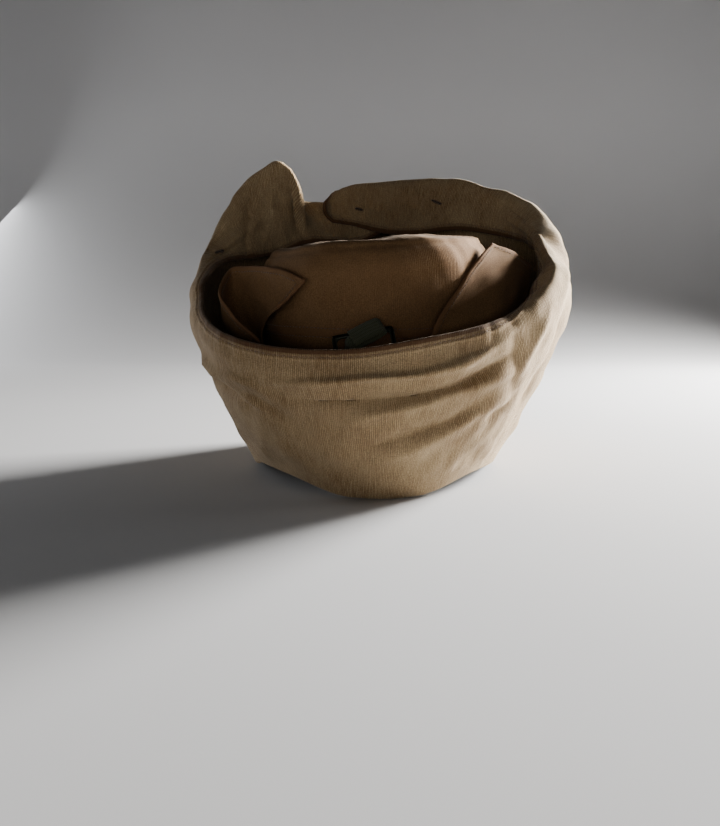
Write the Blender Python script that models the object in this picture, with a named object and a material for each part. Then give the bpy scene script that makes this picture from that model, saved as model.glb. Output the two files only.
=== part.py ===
"""Khaki cotton combat cap with its deep neck curtain turned up all round.

The cap rests on the fold at the foot of the curtain. +X is the right-hand side
as the cap is seen from behind, +Y is the front of the cap, +Z is up. Angles
run counter-clockwise from +X, so the back of the cap is at 270 (or -90) degrees.
"""
import math
from collections import namedtuple

import bmesh
import bpy
from mathutils import Vector

OPENING_WIDTH = 0.184
OPENING_DEPTH = 0.210
CAP_HEIGHT = 0.232
CURTAIN_SPREAD = 0.060
CURTAIN_CLOTH = 0.0018
HEM_THICK = 0.0032
HEM_DEPTH = 0.010
SEAM_ALLOWANCE = 0.009
BAND_HEIGHT = 0.099
BAND_CLOTH = 0.0016
CROWN_HEIGHT = 0.170
CROWN_LEAN = 0.07
CROWN_LAP = 0.006
FLAP_CLOTH = 0.0016
STRAP_WIDTH = 0.020
STRAP_THICK = 0.0014
SLIDE_LENGTH = 0.040
SLIDE_WIDTH = 0.020
SLIDE_THICK = 0.0020
LOOP_LENGTH = 0.026
GAP = 0.0005

Section = namedtuple("Section", "angle foot_up belly_out belly_up wide_out wide_up top_out top_up rim_out rim_up")

# Reaches beyond the opening are shares of CURTAIN_SPREAD, heights are shares of CAP_HEIGHT.
# The strip runs clockwise from the right-hand end at the front, round the back, to the left-hand end.
CURTAIN_SECTIONS = (
    Section(118, 0.0, 0.13, 0.30, 0.22, 0.69, -0.28, 0.905, -0.53, 0.812),
    Section(104, 0.0, 0.13, 0.30, 0.22, 0.70, -0.37, 0.945, -0.63, 0.800),
    Section(88, 0.0, 0.13, 0.30, 0.22, 0.71, -0.41, 0.957, -0.70, 0.780),
    Section(62, 0.0, 0.17, 0.28, 0.32, 0.73, -0.17, 0.968, -0.48, 0.770),
    Section(40, 0.0, 0.25, 0.26, 0.54, 0.71, 0.32, 0.948, 0.08, 0.785),
    Section(30, 0.0, 0.30, 0.25, 0.72, 0.71, 0.49, 0.888, 0.40, 0.765),
    Section(20, 0.0, 0.36, 0.24, 0.86, 0.67, 0.52, 0.825, 0.56, 0.742),
    Section(8, 0.0, 0.41, 0.235, 0.90, 0.58, 0.54, 0.768, 0.56, 0.712),
    Section(-2, 0.004, 0.41, 0.235, 0.87, 0.53, 0.55, 0.722, 0.54, 0.668),
    Section(-25, 0.030, 0.39, 0.22, 0.79, 0.48, 0.69, 0.630, 0.45, 0.584),
    Section(-50, 0.037, 0.35, 0.20, 0.64, 0.41, 0.60, 0.496, 0.49, 0.510),
    Section(-75, 0.0, 0.38, 0.19, 0.58, 0.35, 0.59, 0.425, 0.57, 0.468),
    Section(-100, 0.0, 0.40, 0.185, 0.60, 0.335, 0.61, 0.392, 0.58, 0.432),
    Section(-125, 0.040, 0.43, 0.19, 0.68, 0.345, 0.72, 0.408, 0.70, 0.448),
    Section(-150, 0.042, 0.38, 0.20, 0.70, 0.41, 0.75, 0.480, 0.68, 0.520),
    Section(-170, 0.010, 0.33, 0.225, 0.68, 0.47, 0.67, 0.620, 0.49, 0.634),
    Section(-184, 0.0, 0.30, 0.24, 0.65, 0.54, 0.56, 0.735, 0.28, 0.670),
    Section(-195, 0.0, 0.30, 0.26, 0.56, 0.62, 0.22, 0.920, 0.03, 0.682),
    Section(-203, 0.0, 0.26, 0.26, 0.44, 0.67, -0.16, 0.995, -0.11, 0.690),
    Section(-212, 0.0, 0.22, 0.28, 0.33, 0.68, -0.34, 0.955, -0.26, 0.715),
    Section(-224, 0.0, 0.17, 0.28, 0.24, 0.69, -0.10, 0.900, -0.46, 0.738),
    Section(-240, 0.0, 0.08, 0.30, 0.12, 0.69, -0.22, 0.885, -0.65, 0.737),
    Section(-262, 0.0, 0.05, 0.30, 0.10, 0.69, -0.36, 0.915, -0.64, 0.742),
    Section(-278, 0.0, 0.05, 0.30, 0.10, 0.69, -0.34, 0.930, -0.52, 0.785),
)
CURTAIN_LEVELS = (0.0, 0.24, 0.52, 0.80, 1.0)
CURTAIN_STATIONS = 88
CURTAIN_ROWS = 15

Shoulder = namedtuple("Shoulder", "angle out up")

# How much further out and higher the roll's shoulder stands, between the widest place and the top,
# than the smooth line there: shares of CURTAIN_SPREAD and of CAP_HEIGHT.
CURTAIN_SHOULDERS = (
    Shoulder(118, 0.0, 0.0),
    Shoulder(62, 0.0, 0.0),
    Shoulder(40, 0.0, 0.015),
    Shoulder(30, 0.0, 0.060),
    Shoulder(20, 0.090, 0.070),
    Shoulder(8, 0.160, 0.050),
    Shoulder(-2, 0.130, 0.0),
    Shoulder(-14, 0.050, 0.0),
    Shoulder(-30, 0.0, 0.0),
    Shoulder(-278, 0.0, 0.0),
)

End = namedtuple("End", "level turn")

# The right-hand end is rounded: degrees that its edge stands beyond the first section, by level.
RIGHT_END = (End(0.0, 0.0), End(0.70, 0.0), End(0.80, -3.0), End(0.89, 5.0), End(0.95, 6.0), End(1.0, 0.5))

Fold = namedtuple("Fold", "angle_0 level_0 angle_1 level_1 width depth")

# A fold runs from one angle and level to the next. Its width is a share of OPENING_WIDTH and its
# depth a share of CURTAIN_SPREAD, outwards when it is above nought.
CURTAIN_FOLDS = (
    Fold(-150, 0.46, -112, 0.30, 0.06, -0.07),
    Fold(-158, 0.56, -125, 0.52, 0.06, 0.03),
    Fold(-118, 0.52, -62, 0.64, 0.06, 0.06),
    Fold(-112, 0.42, -52, 0.50, 0.06, -0.07),
    Fold(-95, 0.30, -45, 0.40, 0.06, 0.05),
    Fold(-92, 0.16, -48, 0.24, 0.05, -0.05),
    Fold(-20, 0.62, -34, 0.30, 0.07, -0.07),
    Fold(34, 0.93, 6, 0.82, 0.06, 0.05),
    Fold(-182, 0.84, -197, 0.92, 0.05, -0.06),
    Fold(-206, 0.86, -228, 0.96, 0.07, 0.10),
    Fold(-150, 0.37, -126, 0.32, 0.05, -0.06),
)

Level = namedtuple("Level", "up reach")

# Heights are shares of the rise from the headband to the top, reaches are shares of the opening's radius.
CROWN_LEVELS = (
    Level(0.00, 0.000),
    Level(0.20, 0.016),
    Level(0.42, 0.030),
    Level(0.62, 0.034),
    Level(0.79, 0.018),
    Level(0.90, -0.040),
    Level(0.965, -0.130),
    Level(0.993, -0.330),
)
BAND_FOOT_REACH = 0.928
BAND_TOP_REACH = 0.857
ROUND_STATIONS = 40

Point = namedtuple("Point", "angle reach up seat")

# Reaches are shares of OPENING_DEPTH, heights are shares of CAP_HEIGHT. Each row runs along the flap.
# Where seat is 1 the flap lies against the headband, whatever its reach says.
LEFT_FLAP = (
    (Point(233, 0.43, 0.330, 1), Point(225, 0.42, 0.325, 1), Point(216, 0.41, 0.325, 1),
     Point(208, 0.41, 0.340, 1), Point(209, 0.440, 0.430, 0), Point(214, 0.450, 0.475, 0),
     Point(221, 0.465, 0.505, 0), Point(229, 0.475, 0.535, 0)),
    (Point(232, 0.545, 0.390, 0), Point(221, 0.555, 0.420, 0), Point(209, 0.550, 0.455, 0),
     Point(200, 0.505, 0.505, 0), Point(204, 0.468, 0.540, 0), Point(214, 0.455, 0.560, 0),
     Point(226, 0.457, 0.570, 0), Point(237, 0.470, 0.575, 0)),
    (Point(232, 0.588, 0.444, 0), Point(219, 0.585, 0.510, 0), Point(207, 0.580, 0.578, 0),
     Point(196, 0.520, 0.645, 0), Point(202, 0.472, 0.653, 0), Point(213, 0.450, 0.652, 0),
     Point(229, 0.450, 0.640, 0), Point(242, 0.466, 0.610, 0)),
)
RIGHT_FLAP = (
    (Point(290, 0.43, 0.340, 1), Point(312, 0.41, 0.335, 1), Point(334, 0.40, 0.330, 1)),
    (Point(291, 0.490, 0.483, 0), Point(317, 0.515, 0.480, 0), Point(344, 0.525, 0.470, 0)),
    (Point(306, 0.450, 0.600, 0), Point(329, 0.495, 0.585, 0), Point(352, 0.545, 0.560, 0)),
    (Point(318, 0.432, 0.664, 0), Point(337, 0.485, 0.640, 0), Point(358, 0.560, 0.615, 0)),
    (Point(334, 0.434, 0.722, 0), Point(345, 0.485, 0.700, 0), Point(361, 0.565, 0.665, 0)),
)
FLAP_LONG = 21
FLAP_SHORT = 7


def clear_scene():
    """Take away whatever the scene holds."""
    for item in list(bpy.data.objects):
        bpy.data.objects.remove(item, do_unlink=True)


def material(name, colour, roughness, metallic=0.0):
    """Return a plain material.

    Args:
        name: Name of the material.
        colour: Red, green and blue, linear.
        roughness: Roughness of the surface.
        metallic: 1 for bare metal.

    Returns:
        The material.
    """
    made = bpy.data.materials.new(name)
    made.use_nodes = True
    surface = made.node_tree.nodes["Principled BSDF"]
    surface.inputs["Base Color"].default_value = (*colour, 1.0)
    surface.inputs["Roughness"].default_value = roughness
    surface.inputs["Metallic"].default_value = metallic
    return made


def slopes(marks, values):
    """Return the slope of a smooth line at each of its marks."""
    steps = [(values[i + 1] - values[i]) / (marks[i + 1] - marks[i]) for i in range(len(marks) - 1)]
    inner = []
    for i in range(1, len(marks) - 1):
        before = marks[i] - marks[i - 1]
        after = marks[i + 1] - marks[i]
        inner.append((steps[i - 1] * after + steps[i] * before) / (before + after))
    return [steps[0]] + inner + [steps[-1]]


def smooth(marks, values, where):
    """Return the height of a smooth line through the marks at one place.

    Args:
        marks: Rising places along the line.
        values: Value at each mark.
        where: Place that is asked for.

    Returns:
        The value there.
    """
    span = 0
    while span < len(marks) - 2 and where > marks[span + 1]:
        span += 1
    tilt = slopes(marks, values)
    width = marks[span + 1] - marks[span]
    t = min(max((where - marks[span]) / width, 0.0), 1.0)
    rise = values[span + 1] - values[span]
    start = width * tilt[span]
    end = width * tilt[span + 1]
    return values[span] + t * (start + t * (3 * rise - 2 * start - end + t * (start + end - 2 * rise)))


def opening_radius(angle):
    """Return the radius of the opening's outline at an angle in degrees."""
    turn = math.radians(angle)
    return 1.0 / math.hypot(math.cos(turn) / (OPENING_WIDTH / 2), math.sin(turn) / (OPENING_DEPTH / 2))


def polar(angle, radius, height):
    """Return a point from its angle in degrees, its radius and its height."""
    turn = math.radians(angle)
    return Vector((radius * math.cos(turn), radius * math.sin(turn), height))


def fold_offset(angle, level):
    """Return how far the folds push the curtain's cloth out at one place."""
    total = 0.0
    arc = math.radians(1.0) * OPENING_WIDTH * 0.7
    tall = CAP_HEIGHT
    for fold in CURTAIN_FOLDS:
        run = Vector(((fold.angle_1 - fold.angle_0) * arc, (fold.level_1 - fold.level_0) * tall))
        here = Vector(((angle - fold.angle_0) * arc, (level - fold.level_0) * tall))
        along = here.dot(run) / run.length_squared
        nearest = min(max(along, 0.0), 1.0)
        away = (here - run * nearest).length / (fold.width * OPENING_WIDTH)
        total += fold.depth * CURTAIN_SPREAD * math.exp(-away * away)
    return total


def foot_lift(angle):
    """Return how high the curtain's foot stands above the floor at one angle."""
    marks = [-section.angle for section in CURTAIN_SECTIONS]
    return max(0.0, smooth(marks, [s.foot_up for s in CURTAIN_SECTIONS], -angle)) * CAP_HEIGHT


def shoulder(angle, level):
    """Return how much further out and higher the shoulder stands at an angle and level, as shares."""
    wide, top = CURTAIN_LEVELS[2], CURTAIN_LEVELS[3]
    if not wide < level < top:
        return 0.0, 0.0
    near = math.sin((level - wide) / (top - wide) * math.pi) ** 1.5
    for before, after in zip(CURTAIN_SHOULDERS, CURTAIN_SHOULDERS[1:]):
        if after.angle <= angle <= before.angle:
            share = (before.angle - angle) / (before.angle - after.angle)
            out = before.out + (after.out - before.out) * share
            up = before.up + (after.up - before.up) * share
            return out * near, up * near
    return 0.0, 0.0


def curtain_point(angle, level):
    """Return a point in the middle of the curtain's cloth.

    Args:
        angle: Degrees, from the first section's down to the last section's.
        level: 0 at the foot and 1 at the rim.

    Returns:
        The point.
    """
    marks = [-section.angle for section in CURTAIN_SECTIONS]
    table = {}
    for column in Section._fields[1:]:
        table[column] = smooth(marks, [getattr(s, column) for s in CURTAIN_SECTIONS], -angle)
    outs = (0.0, table["belly_out"], table["wide_out"], table["top_out"], table["rim_out"])
    ups = (table["foot_up"], table["belly_up"], table["wide_up"], table["top_up"], table["rim_up"])
    more_out, more_up = shoulder(angle, level)
    out = (smooth(CURTAIN_LEVELS, outs, level) + more_out) * CURTAIN_SPREAD
    up = (smooth(CURTAIN_LEVELS, ups, level) + more_up) * CAP_HEIGHT
    foot = CURTAIN_CLOTH * 0.5
    return polar(angle, opening_radius(angle) + out, foot + up)


def normals_of(grid, wrap):
    """Return the outward direction at each point of a grid of points.

    Args:
        grid: Rows of points, each row of the same length.
        wrap: Whether the last column meets the first.

    Returns:
        Rows of directions.
    """
    rows = len(grid)
    columns = len(grid[0])
    result = []
    for i in range(rows):
        line = []
        for j in range(columns):
            after = (j + 1) % columns if wrap else min(j + 1, columns - 1)
            before = (j - 1) % columns if wrap else max(j - 1, 0)
            across = grid[i][after] - grid[i][before]
            upward = grid[min(i + 1, rows - 1)][j] - grid[max(i - 1, 0)][j]
            line.append(across.cross(upward).normalized())
        result.append(line)
    return result


def add_object(name, mesh_data, finish, cloth=True):
    """Add an object made from a finished bmesh.

    Args:
        name: Name of the object.
        mesh_data: The bmesh.
        finish: Material.
        cloth: Whether every face is shaded smooth.

    Returns:
        The object.
    """
    bmesh.ops.recalc_face_normals(mesh_data, faces=mesh_data.faces)
    mesh = bpy.data.meshes.new(name)
    mesh_data.to_mesh(mesh)
    mesh_data.free()
    for face in mesh.polygons:
        face.use_smooth = cloth
    mesh.materials.append(finish)
    made = bpy.data.objects.new(name, mesh)
    bpy.context.scene.collection.objects.link(made)
    return made


def cloth_solid(name, grid, thick, finish, wrap=False, cap=None):
    """Build cloth of a real thickness about a grid of points.

    Args:
        name: Name of the object.
        grid: Rows of points in the middle of the cloth.
        thick: Function of row and column that gives the thickness.
        finish: Material.
        wrap: Whether the last column meets the first.
        cap: Point that closes the last row, or None.

    Returns:
        The object.
    """
    out = normals_of(grid, wrap)
    made = bmesh.new()
    sides = []
    for sign in (0.5, -0.5):
        side = []
        for i, row in enumerate(grid):
            line = []
            for j, point in enumerate(row):
                place = point + out[i][j] * (sign * thick(i, j))
                place.z = max(place.z, 0.0)
                line.append(made.verts.new(place))
            side.append(line)
        sides.append(side)
    rows = len(grid)
    columns = len(grid[0])
    count = columns if wrap else columns - 1
    for side in sides:
        for i in range(rows - 1):
            for j in range(count):
                k = (j + 1) % columns
                made.faces.new((side[i][j], side[i][k], side[i + 1][k], side[i + 1][j]))
    outer, inner = sides
    for j in range(count):
        k = (j + 1) % columns
        made.faces.new((outer[0][j], outer[0][k], inner[0][k], inner[0][j]))
        if cap is None:
            made.faces.new((outer[-1][j], outer[-1][k], inner[-1][k], inner[-1][j]))
    if not wrap:
        for i in range(rows - 1):
            made.faces.new((outer[i][0], outer[i + 1][0], inner[i + 1][0], inner[i][0]))
            made.faces.new((outer[i][-1], outer[i + 1][-1], inner[i + 1][-1], inner[i][-1]))
    if cap is not None:
        half = Vector((0.0, 0.0, 0.5 * thick(rows - 1, 0)))
        for side, pole in ((outer, cap + half), (inner, cap - half)):
            top = made.verts.new(pole)
            for j in range(count):
                made.faces.new((side[-1][j], side[-1][(j + 1) % columns], top))
    return add_object(name, made, finish)


def curtain(finish):
    """Build the turned-up curtain with its lapped ends and turned hem."""
    first = CURTAIN_SECTIONS[0].angle
    last = CURTAIN_SECTIONS[-1].angle
    hem_start = 1.0 - HEM_DEPTH / CAP_HEIGHT * 2.2
    levels = [hem_start * (i / (CURTAIN_ROWS - 2)) for i in range(CURTAIN_ROWS - 1)]
    levels[0] = 0.018
    levels += [(1.0 + hem_start) / 2, 1.0]
    grid = []
    fold_rows = (
        (-0.0044, CURTAIN_CLOTH * 0.5 + SEAM_ALLOWANCE),
        (-0.0044, CURTAIN_CLOTH * 1.1),
        (-0.0030, CURTAIN_CLOTH * 0.40),
        (-0.0002, CURTAIN_CLOTH * 0.32),
    )
    for out, height in fold_rows:
        row = []
        for j in range(CURTAIN_STATIONS + 1):
            angle = first + (last - first) * j / CURTAIN_STATIONS
            lap = lap_offset(angle)
            lift = foot_lift(angle)
            row.append(polar(angle, opening_radius(angle) + out + lap, height + lift))
        grid.append(row)
    for level in levels:
        turn = smooth([end.level for end in RIGHT_END], [end.turn for end in RIGHT_END], level)
        row = []
        for j in range(CURTAIN_STATIONS + 1):
            share = j / CURTAIN_STATIONS
            angle = first + (last - first) * share
            angle += turn * max(0.0, 1.0 - share * 12)
            point = curtain_point(angle, level)
            row.append(point)
        out = normals_of([row, [p + Vector((0, 0, 0.001)) for p in row]], False)[0]
        for j, point in enumerate(row):
            angle = first + (last - first) * j / CURTAIN_STATIONS
            push = fold_offset(angle, level)
            row[j] = point - out[j] * push + polar(angle, lap_offset(angle) * max(0.0, 1.0 - level * 3), 0.0)
        grid.append(row)

    def thick(i, j):
        return HEM_THICK if i >= len(grid) - 2 else CURTAIN_CLOTH

    return cloth_solid("curtain", grid, thick, finish)


def lap_offset(angle):
    """Return how far the right-hand end stands clear of the left-hand end at the foot."""
    return 0.0034 * min(max((angle - 50.0) / 20.0, 0.0), 1.0)


def band_radius(angle, height):
    """Return the radius of the middle of the headband's cloth."""
    share = height / BAND_HEIGHT
    reach = BAND_FOOT_REACH + (BAND_TOP_REACH - BAND_FOOT_REACH) * share
    return opening_radius(angle) * reach


def headband(finish):
    """Build the headband, from just above the foot up to the crown's seam."""
    grid = []
    for i in range(5):
        line = []
        for angle in round_angles():
            turned = angle if angle < 90.0 else angle - 360.0
            foot = 0.003 + foot_lift(turned)
            height = foot + (BAND_HEIGHT - foot) * i / 4
            line.append(polar(angle, band_radius(angle, height), height))
        grid.append(line)
    return cloth_solid("headband", grid, lambda i, j: BAND_CLOTH, finish, wrap=True)


def round_angles():
    """Return the angles of the stations round the opening."""
    return [360.0 * j / ROUND_STATIONS for j in range(ROUND_STATIONS)]


def crown_point(angle, share):
    """Return a point in the middle of the crown's cloth, share 0 at the seam and 1 at the top."""
    seam = BAND_HEIGHT - CROWN_LAP
    ups = [level.up for level in CROWN_LEVELS]
    reach = smooth(ups, [level.reach for level in CROWN_LEVELS], share)
    clear = BAND_CLOTH + GAP + 0.0002
    radius = band_radius(angle, seam) + clear + reach * opening_radius(angle)
    rise = CROWN_HEIGHT - seam + CROWN_LEAN * radius * math.cos(math.radians(angle))
    return polar(angle, radius, seam + rise * share)


def crown(finish):
    """Build the domed crown, lapped over the headband's top edge."""
    grid = []
    for level in CROWN_LEVELS:
        grid.append([crown_point(a, level.up) for a in round_angles()])
    top = Vector((0.0, 0.0, CROWN_HEIGHT))
    return cloth_solid("crown", grid, lambda i, j: BAND_CLOTH, finish, wrap=True, cap=top)


def flap_seat(angle, height):
    """Return the radius at which a flap lies against the headband."""
    return band_radius(angle, height) + (BAND_CLOTH + FLAP_CLOTH) / 2 + GAP


def flap_point(table, along, across):
    """Return a point of a flap.

    Args:
        table: Rows of control points.
        along: 0 to 1 along the rows.
        across: 0 to 1 from the first row to the last.

    Returns:
        The point.
    """
    columns = len(table[0])
    marks = [i / (columns - 1) for i in range(columns)]
    steps = [i / (len(table) - 1) for i in range(len(table))]
    ends = []
    for row in table:
        places = []
        for point in row:
            height = point.up * CAP_HEIGHT
            radius = flap_seat(point.angle, height) if point.seat else point.reach * OPENING_DEPTH
            places.append(polar(point.angle, radius, height))
        ends.append([smooth(marks, [place[axis] for place in places], along) for axis in range(3)])
    place = Vector([smooth(steps, [end[axis] for end in ends], across) for axis in range(3)])
    angle = math.degrees(math.atan2(place.y, place.x))
    radius = math.hypot(place.x, place.y)
    return polar(angle, max(radius, flap_seat(angle, place.z)), place.z)


def ear_flap(name, table, along_count, across_count, finish):
    """Build one inner ear flap from its table of points."""
    grid = []
    for i in range(across_count + 1):
        line = [flap_point(table, j / along_count, i / across_count) for j in range(along_count + 1)]
        grid.append(line)
    return cloth_solid(name, grid, lambda i, j: FLAP_CLOTH, finish)


def adjuster_strap(finish):
    """Build the strap of webbing round the back of the headband."""
    grid = []
    foot = BAND_HEIGHT - CROWN_LAP - STRAP_WIDTH - 0.001
    clear = BAND_CLOTH / 2 + GAP + STRAP_THICK / 2 + 0.0002
    for i in range(3):
        height = foot + STRAP_WIDTH * i / 2
        line = []
        for j in range(19):
            angle = 240.0 + 42.0 * j / 18
            line.append(polar(angle, band_radius(angle, height) + clear, height))
        grid.append(line)
    return cloth_solid("adjuster_strap", grid, lambda i, j: STRAP_THICK, finish)


def buckle_frame():
    """Return the middle of the slide and its three directions: along, upward and outward."""
    middle = polar(265.6, opening_radius(265.6) + 0.0018, CAP_HEIGHT * 0.438)
    along = Vector((0.985, 0.0, 0.17)).normalized()
    outward = Vector((0.05, -0.80, 0.60)).normalized()
    upward = outward.cross(along).normalized()
    return middle, along, upward, along.cross(upward).normalized()


def rounded_outline(length, width, corner, steps):
    """Return the corner points of a rounded rectangle about its middle."""
    points = []
    for sx, sy, start in ((1, 1, 0), (-1, 1, 90), (-1, -1, 180), (1, -1, 270)):
        for k in range(steps + 1):
            turn = math.radians(start + 90.0 * k / steps)
            x = sx * (length / 2 - corner) + corner * math.cos(turn)
            y = sy * (width / 2 - corner) + corner * math.sin(turn)
            points.append((x, y))
    return points


def slide_buckle(finish):
    """Build the painted slide: a rounded frame with one open window."""
    middle, along, upward, outward = buckle_frame()
    outer = rounded_outline(SLIDE_LENGTH, SLIDE_WIDTH, SLIDE_WIDTH * 0.3, 3)
    inner = rounded_outline(SLIDE_LENGTH * 0.80, SLIDE_WIDTH * 0.70, SLIDE_WIDTH * 0.18, 3)
    made = bmesh.new()
    rings = []
    for shape, depth in ((outer, -0.5), (outer, 0.5), (inner, 0.5), (inner, -0.5)):
        ring = []
        for x, y in shape:
            place = middle + along * x + upward * y + outward * (depth * SLIDE_THICK)
            ring.append(made.verts.new(place))
        rings.append(ring)
    count = len(outer)
    for k in range(4):
        here, there = rings[k], rings[(k + 1) % 4]
        for j in range(count):
            n = (j + 1) % count
            made.faces.new((here[j], here[n], there[n], there[j]))
    return add_object("slide_buckle", made, finish, cloth=False)


def strap_loop(finish):
    """Build the doubled end of the strap, up through the slide's window and folded over."""
    middle, along, upward, outward = buckle_frame()
    lift = SLIDE_THICK / 2 + STRAP_THICK / 2 + GAP
    lean = (along * 0.94 + upward * 0.34).normalized()
    side = outward.cross(lean).normalized()
    width = SLIDE_WIDTH * 0.60
    profile = (
        (-0.42, -0.0080), (-0.41, -0.0042), (-0.34, -0.0006), (-0.20, 0.0003), (0.15, 0.0003),
        (0.42, 0.0012), (0.54, 0.0028), (0.50, 0.0046), (0.30, 0.0058), (0.0, 0.0062), (-0.30, 0.0056),
    )
    centre = BAND_HEIGHT - CROWN_LAP - STRAP_WIDTH / 2 - 0.001
    clear = BAND_CLOTH / 2 + STRAP_THICK * 1.5 + 2 * GAP
    grid = []
    for k in range(3):
        share = k / 2 - 0.5
        height = centre + width * share
        line = [polar(a, band_radius(a, height) + clear, height) for a in (244.0, 247.0, 250.0)]
        for x, z in profile:
            place = middle + upward * 0.0034 + lean * (x * LOOP_LENGTH) + outward * (lift + z)
            line.append(place + side * (width * share))
        grid.append(line)
    return cloth_solid("strap_loop", grid, lambda i, j: STRAP_THICK, finish)


def stand_on_floor(items):
    """Move every object so that the foot's middle is the origin."""
    low = Vector((1e9, 1e9, 1e9))
    high = -low
    for item in items:
        for vertex in item.data.vertices:
            low = Vector(map(min, low, vertex.co))
            high = Vector(map(max, high, vertex.co))
    shift = Vector(((low.x + high.x) / 2, (low.y + high.y) / 2, low.z))
    for item in items:
        for vertex in item.data.vertices:
            vertex.co = vertex.co - shift


def main():
    """Build the whole cap."""
    clear_scene()
    khaki = material("cotton_khaki", (0.33, 0.24, 0.12), 0.95)
    tan = material("cotton_tan", (0.24, 0.15, 0.07), 0.95)
    webbing = material("webbing_green", (0.03, 0.045, 0.022), 0.85)
    enamel = material("enamel_green", (0.02, 0.035, 0.018), 0.45)
    items = [
        curtain(khaki),
        headband(tan),
        crown(tan),
        ear_flap("ear_flap_left", LEFT_FLAP, FLAP_LONG, FLAP_SHORT, tan),
        ear_flap("ear_flap_right", RIGHT_FLAP, FLAP_SHORT, FLAP_LONG, tan),
        adjuster_strap(webbing),
        strap_loop(webbing),
        slide_buckle(enamel),
    ]
    stand_on_floor(items)


main()
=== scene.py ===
"""Looks of the khaki combat cap: its cloth, hems, stitching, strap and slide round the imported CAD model.

All sizes are in metres, in the model's own frame: +X is the right-hand side as the cap is seen
from behind, +Y its front, +Z up. Angles are degrees counter-clockwise from +X about the opening's
middle, so the back of the cap is at -90.
"""

import logging
import math
from dataclasses import dataclass
from enum import Enum
from functools import partial
from typing import Callable, Optional, Sequence

import bmesh
import bpy
import numpy as np
from mathutils import Matrix, Vector


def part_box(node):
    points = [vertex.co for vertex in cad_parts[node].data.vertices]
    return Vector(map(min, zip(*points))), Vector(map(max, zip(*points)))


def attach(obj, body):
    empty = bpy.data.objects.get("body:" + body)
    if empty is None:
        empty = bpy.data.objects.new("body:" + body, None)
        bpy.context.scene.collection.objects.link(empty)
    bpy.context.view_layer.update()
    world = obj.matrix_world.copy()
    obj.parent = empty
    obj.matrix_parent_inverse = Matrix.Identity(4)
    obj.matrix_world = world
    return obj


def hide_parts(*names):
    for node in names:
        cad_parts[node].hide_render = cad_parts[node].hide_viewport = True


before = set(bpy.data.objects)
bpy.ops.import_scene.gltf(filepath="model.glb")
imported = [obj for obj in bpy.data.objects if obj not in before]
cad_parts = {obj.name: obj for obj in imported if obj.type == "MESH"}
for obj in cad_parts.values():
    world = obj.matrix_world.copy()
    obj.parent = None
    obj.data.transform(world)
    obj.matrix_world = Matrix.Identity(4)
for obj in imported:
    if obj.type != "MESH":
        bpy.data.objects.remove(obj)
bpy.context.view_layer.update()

LOG = logging.getLogger("combat_cap")
Adder = Callable[..., bpy.types.Node]


class Slot(Enum):
    """Material slots of the record."""

    KHAKI = "cotton_khaki"
    TAN = "cotton_tan"
    WEBBING = "webbing_green"
    ENAMEL = "enamel_green"


def linear(colour: str) -> tuple[float, float, float, float]:
    """Turn an sRGB hex value into linear red, green, blue and alpha.

    Args:
        colour: Six hex digits after a hash.

    Returns:
        Four numbers for a colour socket.
    """
    parts = [int(colour[i:i + 2], 16) / 255.0 for i in (1, 3, 5)]
    parts = [p / 12.92 if p <= 0.04045 else ((p + 0.055) / 1.055) ** 2.4 for p in parts]
    return (parts[0], parts[1], parts[2], 1.0)


def per_metre(size: float) -> float:
    """Return the scale of a pattern whose grains are a size in millimetres."""
    return 1000.0 / size


def feed(node: bpy.types.Node, inputs: dict) -> None:
    """Give a node's inputs their values and links.

    Args:
        node: The node.
        inputs: For each input's name or number a value, a linked output, or a node, whose first output
            is linked.
    """
    for socket, value in inputs.items():
        if isinstance(value, bpy.types.Node):
            value = value.outputs[0]
        if isinstance(value, bpy.types.NodeSocket):
            node.id_data.links.new(value, node.inputs[socket])
        else:
            node.inputs[socket].default_value = value


def add_node(tree: bpy.types.NodeTree, kind: str, inputs: Optional[dict] = None,
             **settings: object) -> bpy.types.Node:
    """Add a shader node with its settings and links.

    Args:
        tree: Node tree of a material.
        kind: The node's type, without "ShaderNode". A MapRange reads inputs 1 to 2 and gives 3 to 4.
        inputs: What each input is fed with.
        **settings: Attributes of the node.

    Returns:
        The node.
    """
    made = tree.nodes.new("ShaderNode" + kind)
    for name, value in settings.items():
        setattr(made, name, value)
    feed(made, inputs or {})
    return made


def smooth(marks: Sequence[float], values: np.ndarray, where: np.ndarray) -> np.ndarray:
    """Read a smooth line through marked values.

    Args:
        marks: Rising places along the line.
        values: A value at each mark, or a column of values at each mark for each place asked for.
        where: Places that are asked for.

    Returns:
        A value for each place.
    """
    places = np.asarray(where, float).ravel()
    at = np.asarray(marks, float)
    table = np.asarray(values, float)
    if table.ndim == 1:
        table = np.broadcast_to(table[:, None], (len(at), places.size))
    gaps = np.diff(at)[:, None]
    steps = np.diff(table, axis=0) / gaps
    inner = (steps[:-1] * gaps[1:] + steps[1:] * gaps[:-1]) / (gaps[:-1] + gaps[1:])
    tilt = np.concatenate([steps[:1], inner, steps[-1:]])
    span = np.clip(np.searchsorted(at, places, side="left") - 1, 0, len(at) - 2)
    pick = np.arange(places.size)
    width = np.diff(at)[span]
    t = np.clip((places - at[span]) / width, 0.0, 1.0)
    low = table[span, pick]
    rise = table[span + 1, pick] - low
    start = width * tilt[span, pick]
    end = width * tilt[span + 1, pick]
    found = low + t * (start + t * (3 * rise - 2 * start - end + t * (start + end - 2 * rise)))
    return found.reshape(np.shape(where))


def unit(vectors: np.ndarray) -> np.ndarray:
    """Return vectors at length one."""
    return vectors / np.maximum(np.linalg.norm(vectors, axis=-1, keepdims=True), 1e-12)


def read_line(marks: np.ndarray, line: np.ndarray, where: np.ndarray) -> np.ndarray:
    """Return vectors read straight along a line of vectors, at lengths from its start."""
    return np.stack([np.interp(where, marks, line[:, axis]) for axis in range(3)], axis=-1)


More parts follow.
